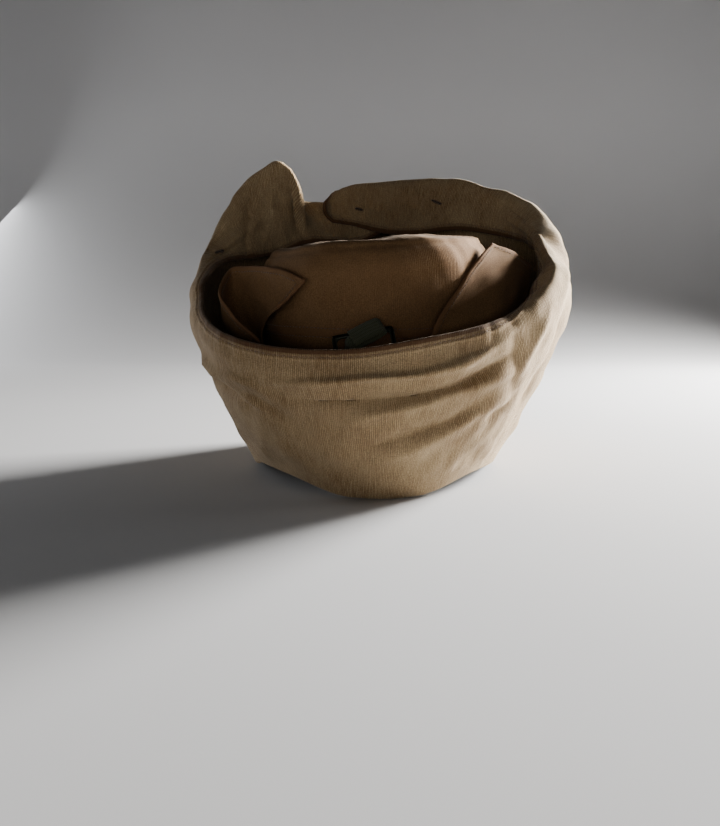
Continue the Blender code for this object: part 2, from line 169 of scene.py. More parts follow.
def grid_normals(grid: np.ndarray, wrap: bool = False) -> np.ndarray:
    """Return the direction across the cloth at each point of a grid.

    Args:
        grid: Rows by columns by three.
        wrap: Whether the last column meets the first.

    Returns:
        Unit vectors, to the left of the columns' run with the rows going up.
    """
    if wrap:
        run = np.roll(grid, -1, axis=1) - np.roll(grid, 1, axis=1)
    else:
        run = np.gradient(grid, axis=1)
    rise = np.gradient(grid, axis=0)
    return unit(np.cross(run, rise))


def arc_lengths(grid: np.ndarray, axis: int) -> np.ndarray:
    """Measure a grid along its rows or columns.

    Args:
        grid: Rows by columns by three.
        axis: 0 to go up the rows, 1 to go along the columns.

    Returns:
        The length from the first line of the grid to each point.
    """
    steps = np.linalg.norm(np.diff(grid, axis=axis), axis=-1)
    total = np.cumsum(steps, axis=axis)
    shape = list(grid.shape[:2])
    shape[axis] = 1
    return np.concatenate([np.zeros(shape), total], axis=axis)


def ease(value: np.ndarray) -> np.ndarray:
    """Return a soft step from 0 to 1."""
    t = np.clip(value, 0.0, 1.0)
    return t * t * (3.0 - 2.0 * t)


def nearest(*gaps: np.ndarray) -> np.ndarray:
    """Return the smallest of some distances, rounded off within a few millimetres where two are alike."""
    sharp = 900.0
    return np.maximum(-np.log(sum(np.exp(-gap * sharp) for gap in gaps)) / sharp, 0.0)


@dataclass(frozen=True)
class Ripple:
    """A soft uneven relief made of crossing waves."""

    seed: int
    # Middle wavelength, and about the height of the crests.
    wave: float
    height: float
    count: int = 14

    def at(self, u: np.ndarray, v: np.ndarray) -> np.ndarray:
        """Read the relief.

        Args:
            u: Metres along the cloth.
            v: Metres up the cloth.

        Returns:
            A height for each place.
        """
        rng = np.random.default_rng(self.seed)
        total = np.zeros_like(u)
        for _ in range(self.count):
            turn = rng.uniform(0.0, math.pi)
            size = self.wave * rng.uniform(0.6, 1.7)
            shift = rng.uniform(0.0, 2.0 * math.pi)
            total += np.sin((u * math.cos(turn) + v * math.sin(turn)) * 2.0 * math.pi / size + shift)
        return total / math.sqrt(self.count) * self.height


def mesh_object(name: str, points: np.ndarray, faces: Sequence[Sequence[int]],
                finishes: Sequence[bpy.types.Material], uv: Optional[np.ndarray] = None,
                edge: Optional[np.ndarray] = None, recalculate: bool = True) -> bpy.types.Object:
    """Make an object from points and faces.

    Args:
        name: Name of the object.
        points: Points by three.
        faces: Corner numbers of each face.
        finishes: Materials.
        uv: Place on the flat cloth at each point, in metres.
        edge: How near to a hem each point lies, from 0 to 1.
        recalculate: Whether faces are turned outwards.

    Returns:
        The object.
    """
    mesh = bpy.data.meshes.new(name)
    mesh.from_pydata(points.tolist(), [], [list(map(int, face)) for face in faces])
    if uv is not None:
        corners = np.empty(len(mesh.loops), dtype=np.int32)
        mesh.loops.foreach_get("vertex_index", corners)
        layer = mesh.uv_layers.new(name="Cloth")
        layer.data.foreach_set("uv", uv[corners].astype(np.float32).ravel())
    if edge is not None:
        mark = mesh.attributes.new("hem", "FLOAT", "POINT")
        mark.data.foreach_set("value", edge.astype(np.float32).ravel())
    if recalculate:
        shell = bmesh.new()
        shell.from_mesh(mesh)
        bmesh.ops.recalc_face_normals(shell, faces=shell.faces)
        shell.to_mesh(mesh)
        shell.free()
    mesh.polygons.foreach_set("use_smooth", [True] * len(mesh.polygons))
    for finish in finishes:
        mesh.materials.append(finish)
    mesh.update()
    made = bpy.data.objects.new(name, mesh)
    bpy.context.scene.collection.objects.link(made)
    return made


def cloth_object(name: str, middle: np.ndarray, thick: np.ndarray, finish: bpy.types.Material, uv: np.ndarray,
                 edge: Optional[np.ndarray] = None, wrap: bool = False,
                 pole: Optional[Sequence[float]] = None) -> bpy.types.Object:
    """Make closed cloth of a real thickness about a grid of points.

    Args:
        name: Name of the object.
        middle: Rows by columns by three, the middle of the cloth.
        thick: Thickness at each point.
        finish: Material.
        uv: Place on the flat cloth at each point.
        edge: How near to a hem each point lies.
        wrap: Whether the last column meets the first.
        pole: Point that closes the last row.

    Returns:
        The object.
    """
    rows, columns = middle.shape[:2]
    away = grid_normals(middle, wrap) * (thick[..., None] * 0.5)
    outer = middle + away
    inner = middle - away
    # No cloth goes below the surface that the cap stands on.
    outer[..., 2] = np.maximum(outer[..., 2], 0.0)
    inner[..., 2] = np.maximum(inner[..., 2], 0.0)
    points = [outer.reshape(-1, 3), inner.reshape(-1, 3)]
    number = np.arange(rows * columns).reshape(rows, columns)
    shift = rows * columns
    right = np.roll(number, -1, axis=1) if wrap else number[:, 1:]
    left = number if wrap else number[:, :-1]
    quads = np.stack([left[:-1], right[:-1], right[1:], left[1:]], axis=-1).reshape(-1, 4)
    faces = [*quads.tolist(), *(quads[:, ::-1] + shift).tolist()]
    foot = np.stack([left[0], left[0] + shift, right[0] + shift, right[0]], axis=-1)
    faces.extend(foot.tolist())
    flat = [uv.reshape(-1, 2), uv.reshape(-1, 2)]
    marks = None if edge is None else [edge.ravel(), edge.ravel()]
    if pole is None:
        rim = np.stack([left[-1], right[-1], right[-1] + shift, left[-1] + shift], axis=-1)
        faces.extend(rim.tolist())
    else:
        top = 2 * shift
        half = np.array([0.0, 0.0, float(thick[-1].mean()) * 0.5])
        points.append(np.array([np.asarray(pole) + half, np.asarray(pole) - half]))
        flat.append(np.repeat(uv[-1].mean(axis=0)[None], 2, axis=0))
        if marks is not None:
            marks.append(np.zeros(2))
        for a, b in zip(left[-1], right[-1]):
            faces.append((a, b, top))
            faces.append((b + shift, a + shift, top + 1))
    if not wrap:
        for line in (number[:, 0], number[:, -1]):
            ends = np.stack([line[:-1], line[1:], line[1:] + shift, line[:-1] + shift], axis=-1)
            faces.extend(ends.tolist())
    return mesh_object(name, np.concatenate(points), faces, [finish], np.concatenate(flat),
                       None if marks is None else np.concatenate(marks))


def rounded(distance: np.ndarray, thick: float) -> np.ndarray:
    """Return the share of a cloth's thickness near its edge, so that the edge is round.

    Args:
        distance: Metres from the edge.
        thick: Full thickness.

    Returns:
        Shares from about 0.25 to 1.
    """
    t = np.clip(distance / (thick * 0.5), 0.0, 1.0)
    return 0.25 + 0.75 * np.sqrt(np.clip(1.0 - (1.0 - t) ** 2, 0.0, 1.0))


class Finish:
    """Base of the finishes: a real material that is built once and shared by its pieces."""

    name: str

    def get(self) -> bpy.types.Material:
        """Return the material, built the first time it is asked for."""
        return bpy.data.materials.get(self.name) or self.build()

    def build(self) -> bpy.types.Material:
        """Return the material with its nodes."""
        made = bpy.data.materials.new(self.name)
        made.use_nodes = True
        tree = made.node_tree
        feed(tree.nodes["Principled BSDF"], self.surface(partial(add_node, tree)))
        return made

    def surface(self, add: Adder) -> dict:
        """Add the material's nodes.

        Args:
            add: Adds a node to the material.

        Returns:
            What each input of the shader is fed with.
        """
        raise NotImplementedError


@dataclass(frozen=True)
class BrushedCotton(Finish):
    """Brushed cotton twill: warp ribs that stand proud, a soft nap that takes the light at grazing angles."""

    name: str
    crest: str
    gap: str
    faded: str
    hem: str
    # Spacing of the ribs and of the weft, drawn about twice as coarse as the real cloth's, so that they show.
    rib: float = 0.00125
    weft: float = 0.00078
    # Millimetres: a slub's width and length, the ribs' waver, a worn patch and a fleck of lint.
    slub: tuple[float, float] = (1.11, 11.1)
    waver: float = 8.33
    patch: float = 38.46
    fleck: float = 0.714
    relief: float = 0.00028
    rib_show: float = 0.60
    nap: float = 0.35
    roughness: float = 0.95

    def threads(self, add: Adder) -> bpy.types.Node:
        """Add the weave: wavering ribs, beaded by the weft, of threads that are thick and thin.

        Args:
            add: Adds a node to the material.

        Returns:
            The node that gives the weave's height, from 0 to 1.
        """
        flat = add("TexCoord").outputs["UV"]
        apart = add("SeparateXYZ", {0: flat})
        waver = add("TexNoise", {"Vector": flat, "Scale": per_metre(self.waver), "Detail": 2.0})
        drift = add("Math", {0: waver, 1: 7.0}, operation="MULTIPLY")
        ribs = 2.0 * math.pi / self.rib
        count = add("Math", {0: apart.outputs[0], 1: ribs, 2: drift}, operation="MULTIPLY_ADD")
        wave = add("Math", {0: count}, operation="SINE")
        rib = add("MapRange", {0: wave, 1: -1.0, 2: 1.0, 3: 0.0, 4: 1.0})
        picks = 2.0 * math.pi / self.weft
        step = add("Math", {0: apart.outputs[1], 1: picks, 2: count}, operation="MULTIPLY_ADD")
        pick = add("Math", {0: step}, operation="SINE")
        bead = add("MapRange", {0: pick, 1: -1.0, 2: 1.0, 3: 0.62, 4: 1.0})
        thread = add("Math", {0: rib, 1: bead}, operation="MULTIPLY")
        across, along = (per_metre(size) for size in self.slub)
        slub_map = add("Mapping", {0: flat, "Scale": (across, along, 1.0)})
        slub = add("TexNoise", {"Vector": slub_map, "Scale": 1.0, "Detail": 2.0})
        uneven = add("MapRange", {0: slub, 1: 0.34, 2: 0.66, 3: 0.25, 4: 1.0})
        return add("Math", {0: thread, 1: uneven}, operation="MULTIPLY")

    def surface(self, add: Adder) -> dict:
        """Add the weave's colour, worn patches, lint and rubbed hem.

        Args:
            add: Adds a node to the material.

        Returns:
            What each input of the shader is fed with.
        """
        height = self.threads(add)
        solid = add("TexCoord").outputs["Object"]
        weave = add("MapRange", {0: height, 1: 0.0, 2: 0.85, 3: 1.0 - self.rib_show, 4: 1.0})
        ground = add("Mix", {0: weave, 6: linear(self.gap), 7: linear(self.crest)}, data_type="RGBA")
        patches = {"Vector": solid, "Scale": per_metre(self.patch), "Detail": 4.0, "Roughness": 0.6}
        worn = add("TexNoise", patches)
        wear = add("MapRange", {0: worn, 1: 0.40, 2: 0.72, 3: 0.0, 4: 0.55})
        aged = add("Mix", {0: wear, 6: ground.outputs[2], 7: linear(self.faded)}, data_type="RGBA")
        fleck = add("TexNoise", {"Vector": solid, "Scale": per_metre(self.fleck), "Detail": 1.0})
        fibre = add("MapRange", {0: fleck, 1: 0.32, 2: 0.68, 3: 0.72, 4: 1.22})
        fibred = add("VectorMath", {0: aged.outputs[2], 1: fibre}, operation="MULTIPLY")
        mark = add("Attribute", attribute_name="hem")
        rubbed = add("Math", {0: mark.outputs["Fac"], 1: 0.92}, operation="MULTIPLY")
        edged = add("Mix", {0: rubbed, 6: fibred, 7: linear(self.hem)}, data_type="RGBA")
        fuzz = add("Math", {0: fleck, 1: 0.35, 2: height}, operation="MULTIPLY_ADD")
        bump = add("Bump", {"Height": fuzz, "Distance": self.relief, "Strength": 0.9})
        return {"Base Color": edged.outputs[2], "Normal": bump, "Roughness": self.roughness,
                "Specular IOR Level": 0.12, "Sheen Weight": self.nap, "Sheen Roughness": 0.45,
                "Sheen Tint": linear("#d9cfbf")}


@dataclass(frozen=True)
class WovenWebbing(Finish):
    """Dyed cotton webbing: heavy weft bars across the strap, dull, with a little lint."""

    name: str
    crest: str
    gap: str
    bar: float = 0.0011
    # Millimetres.
    lint: float = 1.11

    def surface(self, add: Adder) -> dict:
        """Add the bars, which waver across the strap, and the lint.

        Args:
            add: Adds a node to the material.

        Returns:
            What each input of the shader is fed with.
        """
        place = add("TexCoord")
        apart = add("SeparateXYZ", {0: place.outputs["UV"]})
        run = add("Math", {0: apart.outputs[0], 1: 2.0 * math.pi / self.bar}, operation="MULTIPLY")
        cross = add("Math", {0: apart.outputs[1], 1: math.pi / self.bar}, operation="MULTIPLY")
        shifted = add("Math", {0: cross}, operation="SINE")
        both = add("Math", {0: shifted, 1: 1.4, 2: run}, operation="MULTIPLY_ADD")
        wave = add("Math", {0: both}, operation="SINE")
        high = add("MapRange", {0: wave, 1: -1.0, 2: 1.0, 3: 0.0, 4: 1.0})
        solid = place.outputs["Object"]
        lint = add("TexNoise", {"Vector": solid, "Scale": per_metre(self.lint), "Detail": 2.0})
        height = add("Math", {0: lint, 1: 0.4, 2: high}, operation="MULTIPLY_ADD")
        tone = add("Mix", {0: height, 6: linear(self.gap), 7: linear(self.crest)}, data_type="RGBA")
        bump = add("Bump", {"Height": height, "Distance": 0.00025, "Strength": 0.9})
        return {"Base Color": tone.outputs[2], "Normal": bump, "Roughness": 0.82, "Specular IOR Level": 0.25,
                "Sheen Weight": 0.15}


@dataclass(frozen=True)
class WornEnamel(Finish):
    """Stoved enamel on stamped steel: satin, a little orange peel, rubbed thin and dusty in places."""

    name: str
    paint: str
    rubbed: str
    # Millimetres: a rubbed spot, and a grain of the orange peel.
    spot: float = 4.17
    grain: float = 0.667

    def surface(self, add: Adder) -> dict:
        """Add the paint, its rubbed and duller spots and its orange peel.

        Args:
            add: Adds a node to the material.

        Returns:
            What each input of the shader is fed with.
        """
        solid = add("TexCoord").outputs["Object"]
        spots = {"Vector": solid, "Scale": per_metre(self.spot), "Detail": 5.0, "Roughness": 0.7}
        rub = add("TexNoise", spots)
        worn = add("MapRange", {0: rub, 1: 0.52, 2: 0.72, 3: 0.0, 4: 0.7})
        tone = add("Mix", {0: worn, 6: linear(self.paint), 7: linear(self.rubbed)}, data_type="RGBA")
        dull = add("MapRange", {0: rub, 1: 0.3, 2: 0.8, 3: 0.34, 4: 0.62})
        peel = add("TexNoise", {"Vector": solid, "Scale": per_metre(self.grain), "Detail": 2.0})
        bump = add("Bump", {"Height": peel, "Distance": 0.00004, "Strength": 0.5})
        return {"Base Color": tone.outputs[2], "Roughness": dull, "Normal": bump, "Coat Weight": 0.12}


@dataclass(frozen=True)
class SpunThread(Finish):
    """Three-ply cotton sewing thread: the plies show as slanting bars, dull and a little fuzzy."""

    name: str
    crest: str
    gap: str
    # Millimetres. A wave takes 0.63 of this, or 0.9 mm, which is coarser than a real ply, so that it shows.
    ply: float = 1.43

    def surface(self, add: Adder) -> dict:
        """Add the slanting plies.

        Args:
            add: Adds a node to the material.

        Returns:
            What each input of the shader is fed with.
        """
        waves = {"Vector": add("TexCoord").outputs["Object"], "Scale": per_metre(self.ply), "Distortion": 1.5}
        ply = add("TexWave", waves, bands_direction="DIAGONAL").outputs["Fac"]
        tone = add("Mix", {0: ply, 6: linear(self.gap), 7: linear(self.crest)}, data_type="RGBA")
        bump = add("Bump", {"Height": ply, "Distance": 0.0001, "Strength": 0.6})
        return {"Base Color": tone.outputs[2], "Normal": bump, "Roughness": 0.85, "Sheen Weight": 0.3}


@dataclass(frozen=True)
class PaintedBoard(Finish):
    """Matt emulsion on smooth board, for the stage: pale grey with a faint roller texture."""

    name: str
    tone: str
    # Millimetres.
    cloud: float = 333.3

    def surface(self, add: Adder) -> dict:
        """Add the paint's faint clouds.

        Args:
            add: Adds a node to the material.

        Returns:
            What each input of the shader is fed with.
        """
        place = add("TexCoord").outputs["Object"]
        cloud = add("TexNoise", {"Vector": place, "Scale": per_metre(self.cloud), "Detail": 2.0})
        level = add("MapRange", {0: cloud, 1: 0.2, 2: 0.8, 3: 0.97, 4: 1.03})
        tone = add("VectorMath", {0: linear(self.tone)[:3], 1: level}, operation="MULTIPLY")
        return {"Base Color": tone, "Roughness": 0.9, "Specular IOR Level": 0.1}


KHAKI = BrushedCotton("brushed_khaki_cotton", crest="#bba37c", gap="#5f4228", faded="#b9a27d", hem="#4d3321",
                      rib_show=0.85, relief=0.00036)
# Tan cloth of the crown, band and ear flaps. Its darker, browner tone is partly the cloth's own and partly
# painted shade of the cap's dim inside.
TAN = BrushedCotton("brushed_tan_cotton_with_painted_shade", crest="#775a3c", gap="#553c27", faded="#7b5f41", hem="#6e4f36",
                    rib_show=0.35, relief=0.00014, nap=0.06)
WEBBING = WovenWebbing("dyed_cotton_webbing", crest="#4c503a", gap="#24271b")
ENAMEL = WornEnamel("worn_green_enamel", paint="#2a2d20", rubbed="#4b4a38")
THREAD = SpunThread("spun_cotton_thread", crest="#93734f", gap="#4f3623")
DARK_THREAD = SpunThread("spun_cotton_thread_dark", crest="#6d5034", gap="#3d2a1a")
# Near-black thread laid along each buttonhole's slit: painted shadow of the opening.
PAINTED_SLIT_SHADOW = SpunThread("painted_shadow_in_slit", crest="#1d140c", gap="#0c0805")


@dataclass(frozen=True)
class Opening:
    """The oval opening round which the cap is built."""

    width: float = 0.184
    depth: float = 0.210
    centre: tuple[float, float] = (0.0, 0.0)

    def radius(self, angle: np.ndarray) -> np.ndarray:
        """Return the radius of the oval at angles in degrees."""
        turn = np.radians(angle)
        return 1.0 / np.hypot(np.cos(turn) / (self.width / 2), np.sin(turn) / (self.depth / 2))

    def polar(self, angle: np.ndarray, radius: np.ndarray, height: np.ndarray) -> np.ndarray:
        """Return points in the model's frame.

        Args:
            angle: Degrees about the opening's middle.
            radius: Metres from the middle.
            height: Metres above the floor.

        Returns:
            Points, with the three axes last.
        """
        turn = np.radians(angle)
        x = radius * np.cos(turn) + self.centre[0]
        y = radius * np.sin(turn) + self.centre[1]
        return np.stack(np.broadcast_arrays(x, y, height), axis=-1)


@dataclass(frozen=True)
class Crease:
    """A line of points (degrees, level) along which the curtain's cloth is pushed out or in."""

    points: tuple[tuple[float, float], ...]
    width: float
    depth: float
    sharp: float = 1.6
    # Above nought the crease is a ledge: the cloth left of the line's run stands out, the cloth right of it
    # falls back, and this is half the width of the step between them.
    ledge: float = 0.0


def cross_line(distance: np.ndarray, wanted: float, grids: Sequence[np.ndarray]) -> list[np.ndarray]:
    """Read grids along the line where a distance that falls up the rows has one value.

    Args:
        distance: Rows by columns.
        wanted: Distance of the line.
        grids: Grids of vectors, rows by columns by three.

    Returns:
        For each grid, a vector for each column.
    """
    columns = np.arange(distance.shape[1])
    row = np.clip((distance > wanted).sum(axis=0) - 1, 0, distance.shape[0] - 2)
    here = distance[row, columns]
    there = distance[row + 1, columns]
    share = np.clip((here - wanted) / np.maximum(here - there, 1e-9), 0.0, 1.0)[:, None]
    return [grid[row, columns] * (1.0 - share) + grid[row + 1, columns] * share for grid in grids]


@dataclass
class Stitching:
    """Rows of lockstitch in spun thread, each stitch a short rounded cord that dips into the cloth."""

    pitch: float = 0.0034
    length: float = 0.0027
    thread: float = 0.00062
    # Share of half a stitch's length, and share of the thread's radius there.
    swell: tuple[tuple[float, float], ...] = ((-0.96, 0.45), (-0.6, 0.95), (0.0, 1.0), (0.6, 0.95),
                                              (0.96, 0.45))
    # How high a stitch's middle stands, in threads, and how much it slants across its line.
    rise: float = 0.62
    slant: float = 0.10
    round: int = 6

    def one(self) -> tuple[np.ndarray, list[tuple[int, ...]]]:
        """Make the pattern of one stitch, along +X on a floor at nought.

        Returns:
            Its points, and the corner numbers of its faces.
        """
        turn = np.arange(self.round) * 2.0 * math.pi / self.round
        points = []
        for along, share in self.swell:
            high = self.thread * (self.rise - self.rise * along ** 2)
            ring = self.thread * 0.5 * share
            x = np.full(self.round, along * self.length / 2)
            points.append(np.stack([x, ring * np.cos(turn), high + ring * np.sin(turn)], axis=-1))
        faces: list[tuple[int, ...]] = []
        for k in range(len(self.swell) - 1):
            for j in range(self.round):
                n = (j + 1) % self.round
                a = k * self.round
                faces.append((a + j, a + n, a + self.round + n, a + self.round + j))
        last = (len(self.swell) - 1) * self.round
        faces.append(tuple(range(self.round))[::-1])
        faces.append(tuple(range(last, last + self.round)))
        return np.concatenate(points), faces

    def sew(self, name: str, lines: Sequence[tuple[np.ndarray, np.ndarray]],
            finish: bpy.types.Material) -> bpy.types.Object:
        """Sew rows of stitches.

        Args:
            name: Name of the piece.
            lines: For each row its points on the cloth's face and the directions away from the face.
            finish: Material.

        Returns:
            The joined stitches.
        """
        shape, pattern = self.one()
        points = []
        faces = []
        start = 0
        for line, away in lines:
            marks = np.concatenate([[0.0], np.cumsum(np.linalg.norm(np.diff(line, axis=0), axis=1))])
            count = int(marks[-1] / self.pitch)
            middle = (np.arange(count) + 0.5) * self.pitch
            place = read_line(marks, line, middle)
            up = unit(read_line(marks, away, middle))
            run = unit(read_line(marks, line, middle + 0.001) - read_line(marks, line, middle - 0.001))
            side = unit(np.cross(up, run))
            run = unit(run + side * self.slant)
            side = unit(np.cross(up, run))
            for k in range(count):
                turned = shape[:, :1] * run[k] + shape[:, 1:2] * side[k] + shape[:, 2:] * up[k]
                points.append(turned + place[k])
                faces.extend(tuple(corner + start for corner in face) for face in pattern)
                start += len(shape)
        made = mesh_object(name, np.concatenate(points), faces, [finish])
        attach(made, "root")
        LOG.info("%s: %d stitches", name, len(points))
        return made


HEM_STITCH = Stitching()
FINE_STITCH = Stitching(pitch=0.0031, length=0.0024, thread=0.0005)
# A buttonhole's stitches overlap, so that they read as whipped lips and as a slit, whose near-black stitches
# are painted shadow.
LIP_STITCH = Stitching(pitch=0.0007, length=0.0011, thread=0.0008)
SLIT_STITCH = Stitching(pitch=0.0009, length=0.0014, thread=0.0010)


def hem_rows(points: np.ndarray, thick: np.ndarray, to_rim: np.ndarray, run: np.ndarray, away: float,
             reached: np.ndarray) -> list[tuple[np.ndarray, np.ndarray]]:
    """Draw the rows of stitches along a cloth's rim and down both its ends, on both its faces.

    Args:
        points: Rows by columns by three, the middle of the cloth.
        thick: Thickness at each point.
        to_rim: Distance up to the rim at each point.
        run: Length along the cloth at each point.
        away: Distance of the stitches from the edge.
        reached: For each row of the cloth, whether the stitches down the ends reach it.

    Returns:
        For each row of stitches its points and the directions away from the face.
    """
    lines = []
    normal = grid_normals(points)
    from_end = run[:, -1][:, None] - run
    for sign in (1.0, -1.0):
        grids = (points + normal * (sign * (thick * 0.5)[..., None]), normal * sign)
        line, up = cross_line(to_rim, away, grids)
        inside = (run[-1] > away) & (run[-1] < run[-1, -1] - away)
        lines.append((line[inside], up[inside]))
        # Turned on its side, each end of the cloth is read as a rim is.
        for distance, turned in ((run.T[::-1], [grid.transpose(1, 0, 2)[::-1] for grid in grids]),
                                 (from_end.T, [grid.transpose(1, 0, 2) for grid in grids])):
            line, up = cross_line(distance, away, turned)
            inside = (to_rim[:, 0] > away) & reached
            lines.append((line[inside], up[inside]))
    return lines


@dataclass
class NeckCurtain:
    """The deep curtain, turned up all round, with its rolled foot and stitched hem."""

    opening: Opening
    height: float = 0.232
    spread: float = 0.060
    cloth: float = 0.0018
    hem_thick: float = 0.0031
    hem_depth: float = 0.0062
    piping: float = 0.0036
    # The hem's stitches lie in a groove this far inside its depth.
    groove_in: float = 0.0012
    # Row of the grid, about halfway up the cloth, along which its length is measured.
    measured_row: int = 60
    # At the foot the right-hand end stands this far clear of the left-hand end. It comes clear from one angle
    # on, over a stretch of degrees.
    lap_clear: float = 0.0034
    lap_start: float = 50.0
    lap_stretch: float = 20.0
    stations: int = 400
    # The foot's roll, from the band outwards: reach beyond the opening, and height over the foot's lift.
    foot_roll: tuple[tuple[float, float], ...] = (
        (-0.0044, 0.0099), (-0.0044, 0.0068), (-0.0044, 0.0040), (-0.0040, 0.0024), (-0.0031, 0.0013),
        (-0.0019, 0.0010), (-0.0007, 0.0012),
    )
    swells: tuple[Ripple, ...] = (Ripple(5, 0.055, 0.0007), Ripple(8, 0.022, 0.00035))
    pucker: Ripple = Ripple(12, 0.011, 0.00030)
    levels: tuple[float, ...] = (0.0, 0.24, 0.52, 0.80, 1.0)
    # Angle, the foot's lift, and how far out and how high the belly, the widest place, the top and the rim
    # are, as shares of the spread and of the height.
    sections: tuple[tuple[float, ...], ...] = (
        (118, 0.0, 0.13, 0.30, 0.22, 0.69, -0.28, 0.905, -0.53, 0.812),
        (104, 0.0, 0.13, 0.30, 0.22, 0.70, -0.37, 0.945, -0.63, 0.800),
        (88, 0.0, 0.13, 0.30, 0.22, 0.71, -0.41, 0.957, -0.70, 0.780),
        (62, 0.0, 0.17, 0.28, 0.32, 0.73, -0.17, 0.968, -0.48, 0.770),
        (40, 0.0, 0.25, 0.26, 0.54, 0.71, 0.32, 0.948, 0.08, 0.785),
        (30, 0.0, 0.30, 0.25, 0.72, 0.71, 0.49, 0.888, 0.40, 0.765),
        (20, 0.0, 0.36, 0.24, 0.86, 0.67, 0.52, 0.825, 0.56, 0.742),
        (8, 0.0, 0.41, 0.235, 0.90, 0.58, 0.54, 0.768, 0.56, 0.712),
        (-2, 0.004, 0.41, 0.235, 0.87, 0.53, 0.55, 0.722, 0.54, 0.668),
        (-25, 0.030, 0.39, 0.22, 0.79, 0.48, 0.69, 0.630, 0.45, 0.584),
        (-50, 0.037, 0.35, 0.20, 0.64, 0.41, 0.60, 0.496, 0.49, 0.510),
        (-75, 0.0, 0.38, 0.19, 0.58, 0.35, 0.59, 0.425, 0.57, 0.468),
        (-100, 0.0, 0.40, 0.185, 0.60, 0.335, 0.61, 0.392, 0.58, 0.432),
        (-125, 0.040, 0.43, 0.19, 0.68, 0.345, 0.72, 0.408, 0.70, 0.448),
        (-150, 0.042, 0.38, 0.20, 0.70, 0.41, 0.75, 0.480, 0.68, 0.520),
        (-170, 0.010, 0.33, 0.225, 0.68, 0.47, 0.67, 0.620, 0.49, 0.634),
        (-184, 0.0, 0.30, 0.24, 0.65, 0.54, 0.56, 0.735, 0.28, 0.670),
        (-195, 0.0, 0.30, 0.26, 0.56, 0.62, 0.22, 0.920, 0.03, 0.682),
        (-203, 0.0, 0.26, 0.26, 0.44, 0.67, -0.16, 0.995, -0.11, 0.690),
        (-212, 0.0, 0.22, 0.28, 0.33, 0.68, -0.34, 0.955, -0.26, 0.715),
        (-224, 0.0, 0.17, 0.28, 0.24, 0.69, -0.10, 0.900, -0.46, 0.738),
        (-240, 0.0, 0.08, 0.30, 0.12, 0.69, -0.22, 0.885, -0.65, 0.737),
        (-262, 0.0, 0.05, 0.30, 0.10, 0.69, -0.36, 0.915, -0.64, 0.742),
        (-278, 0.0, 0.05, 0.30, 0.10, 0.69, -0.34, 0.930, -0.52, 0.785),
    )
    # Angle, and how much further out and higher than the line from the widest place to the top the roll's
    # shoulder stands.
    shoulders: tuple[tuple[float, float, float], ...] = (
        (118, 0.0, 0.0), (62, 0.0, 0.0), (40, 0.0, 0.015), (30, 0.0, 0.060), (20, 0.090, 0.070),
        (8, 0.160, 0.050), (-2, 0.130, 0.0), (-14, 0.050, 0.0), (-30, 0.0, 0.0), (-278, 0.0, 0.0),
    )
    # Level, and the degrees that the rounded right-hand end stands beyond the first section there.
    right_end: tuple[tuple[float, float], ...] = ((0.0, 0.0), (0.70, 0.0), (0.80, -3.0), (0.89, 5.0),
                                                  (0.95, 6.0), (1.0, 0.5))
    # The folds in the photograph: at the left of the back, on the belly, on the right and near the peak.
    creases: tuple[Crease, ...] = (
        Crease(((-150, 0.44), (-142, 0.39), (-131, 0.42), (-124, 0.41), (-118, 0.36), (-112, 0.30)),
               0.0078, -0.0042),
        Crease(((-152, 0.45), (-146, 0.45), (-139, 0.45), (-130, 0.50), (-124, 0.48), (-119, 0.44)),
               0.0068, 0.0030),
        Crease(((-118, 0.52), (-102, 0.56), (-92, 0.60), (-79, 0.59), (-66, 0.61), (-60, 0.64)),
               0.0085, 0.0044),
        Crease(((-113, 0.43), (-104, 0.44), (-96, 0.44), (-80, 0.45), (-67, 0.46), (-60, 0.50), (-53, 0.52)),
               0.0090, -0.0054),
        Crease(((-97, 0.33), (-92, 0.36), (-82, 0.39), (-73, 0.43), (-60, 0.44), (-48, 0.44)),
               0.0070, 0.0044),
        Crease(((-94, 0.20), (-90, 0.23), (-77, 0.28), (-68, 0.31), (-61, 0.36)), 0.0080, -0.0046),
        Crease(((-93, 0.13), (-79, 0.20), (-71, 0.25), (-62, 0.30), (-50, 0.34)), 0.0062, 0.0032),
        Crease(((-52, 0.66), (-50, 0.54), (-49, 0.42), (-47, 0.36)), 0.0050, -0.0022),
        Crease(((-36, 0.66), (-40, 0.58), (-44, 0.47), (-47, 0.40)), 0.0060, 0.0024),
        Crease(((-43, 0.35), (-49, 0.31), (-56, 0.28)), 0.0050, -0.0026),
        Crease(((-20, 0.62), (-26, 0.48), (-34, 0.30)), 0.0100, -0.0036),
        Crease(((36, 0.90), (27, 0.84), (20, 0.82), (9, 0.83), (-2, 0.80), (-18, 0.72), (-26, 0.64)),
               0.0060, 0.0034),
        Crease(((28, 0.90), (18, 0.90), (8, 0.90), (-6, 0.88)), 0.0045, -0.0018),
        Crease(((-178, 0.82), (-184, 0.86), (-191, 0.90), (-197, 0.91), (-200, 0.88)), 0.0045, 0.0026),
        Crease(((-180, 0.91), (-186, 0.94), (-196, 0.945), (-206, 0.92)), 0.0042, 0.0022),
        Crease(((-176, 0.86), (-183, 0.90), (-192, 0.925), (-200, 0.915)), 0.0050, -0.0030),
        Crease(((-225, 1.02), (-219, 0.94), (-212, 0.86), (-206, 0.78), (-203, 0.70)),
               0.0170, 0.0056, ledge=0.0022),
        Crease(((-156, 0.43), (-150, 0.435), (-145, 0.43), (-137, 0.42), (-130, 0.39), (-121, 0.335)),
               0.0130, 0.0050, ledge=0.0030),
        Crease(((60, 0.93), (72, 0.90), (84, 0.93), (96, 0.91)), 0.0080, 0.0022),
        Crease(((52, 0.84), (62, 0.88), (74, 0.86), (88, 0.88)), 0.0070, -0.0016),
    )
    # Buttonholes: angle, level, lean off the cloth's run in degrees, and length.
    holes: tuple[tuple[float, float, float, float], ...] = (
        (-182, 0.90, 20.0, 0.0085), (54, 0.905, 25.0, 0.0095), (97, 0.93, 10.0, 0.0070),
    )

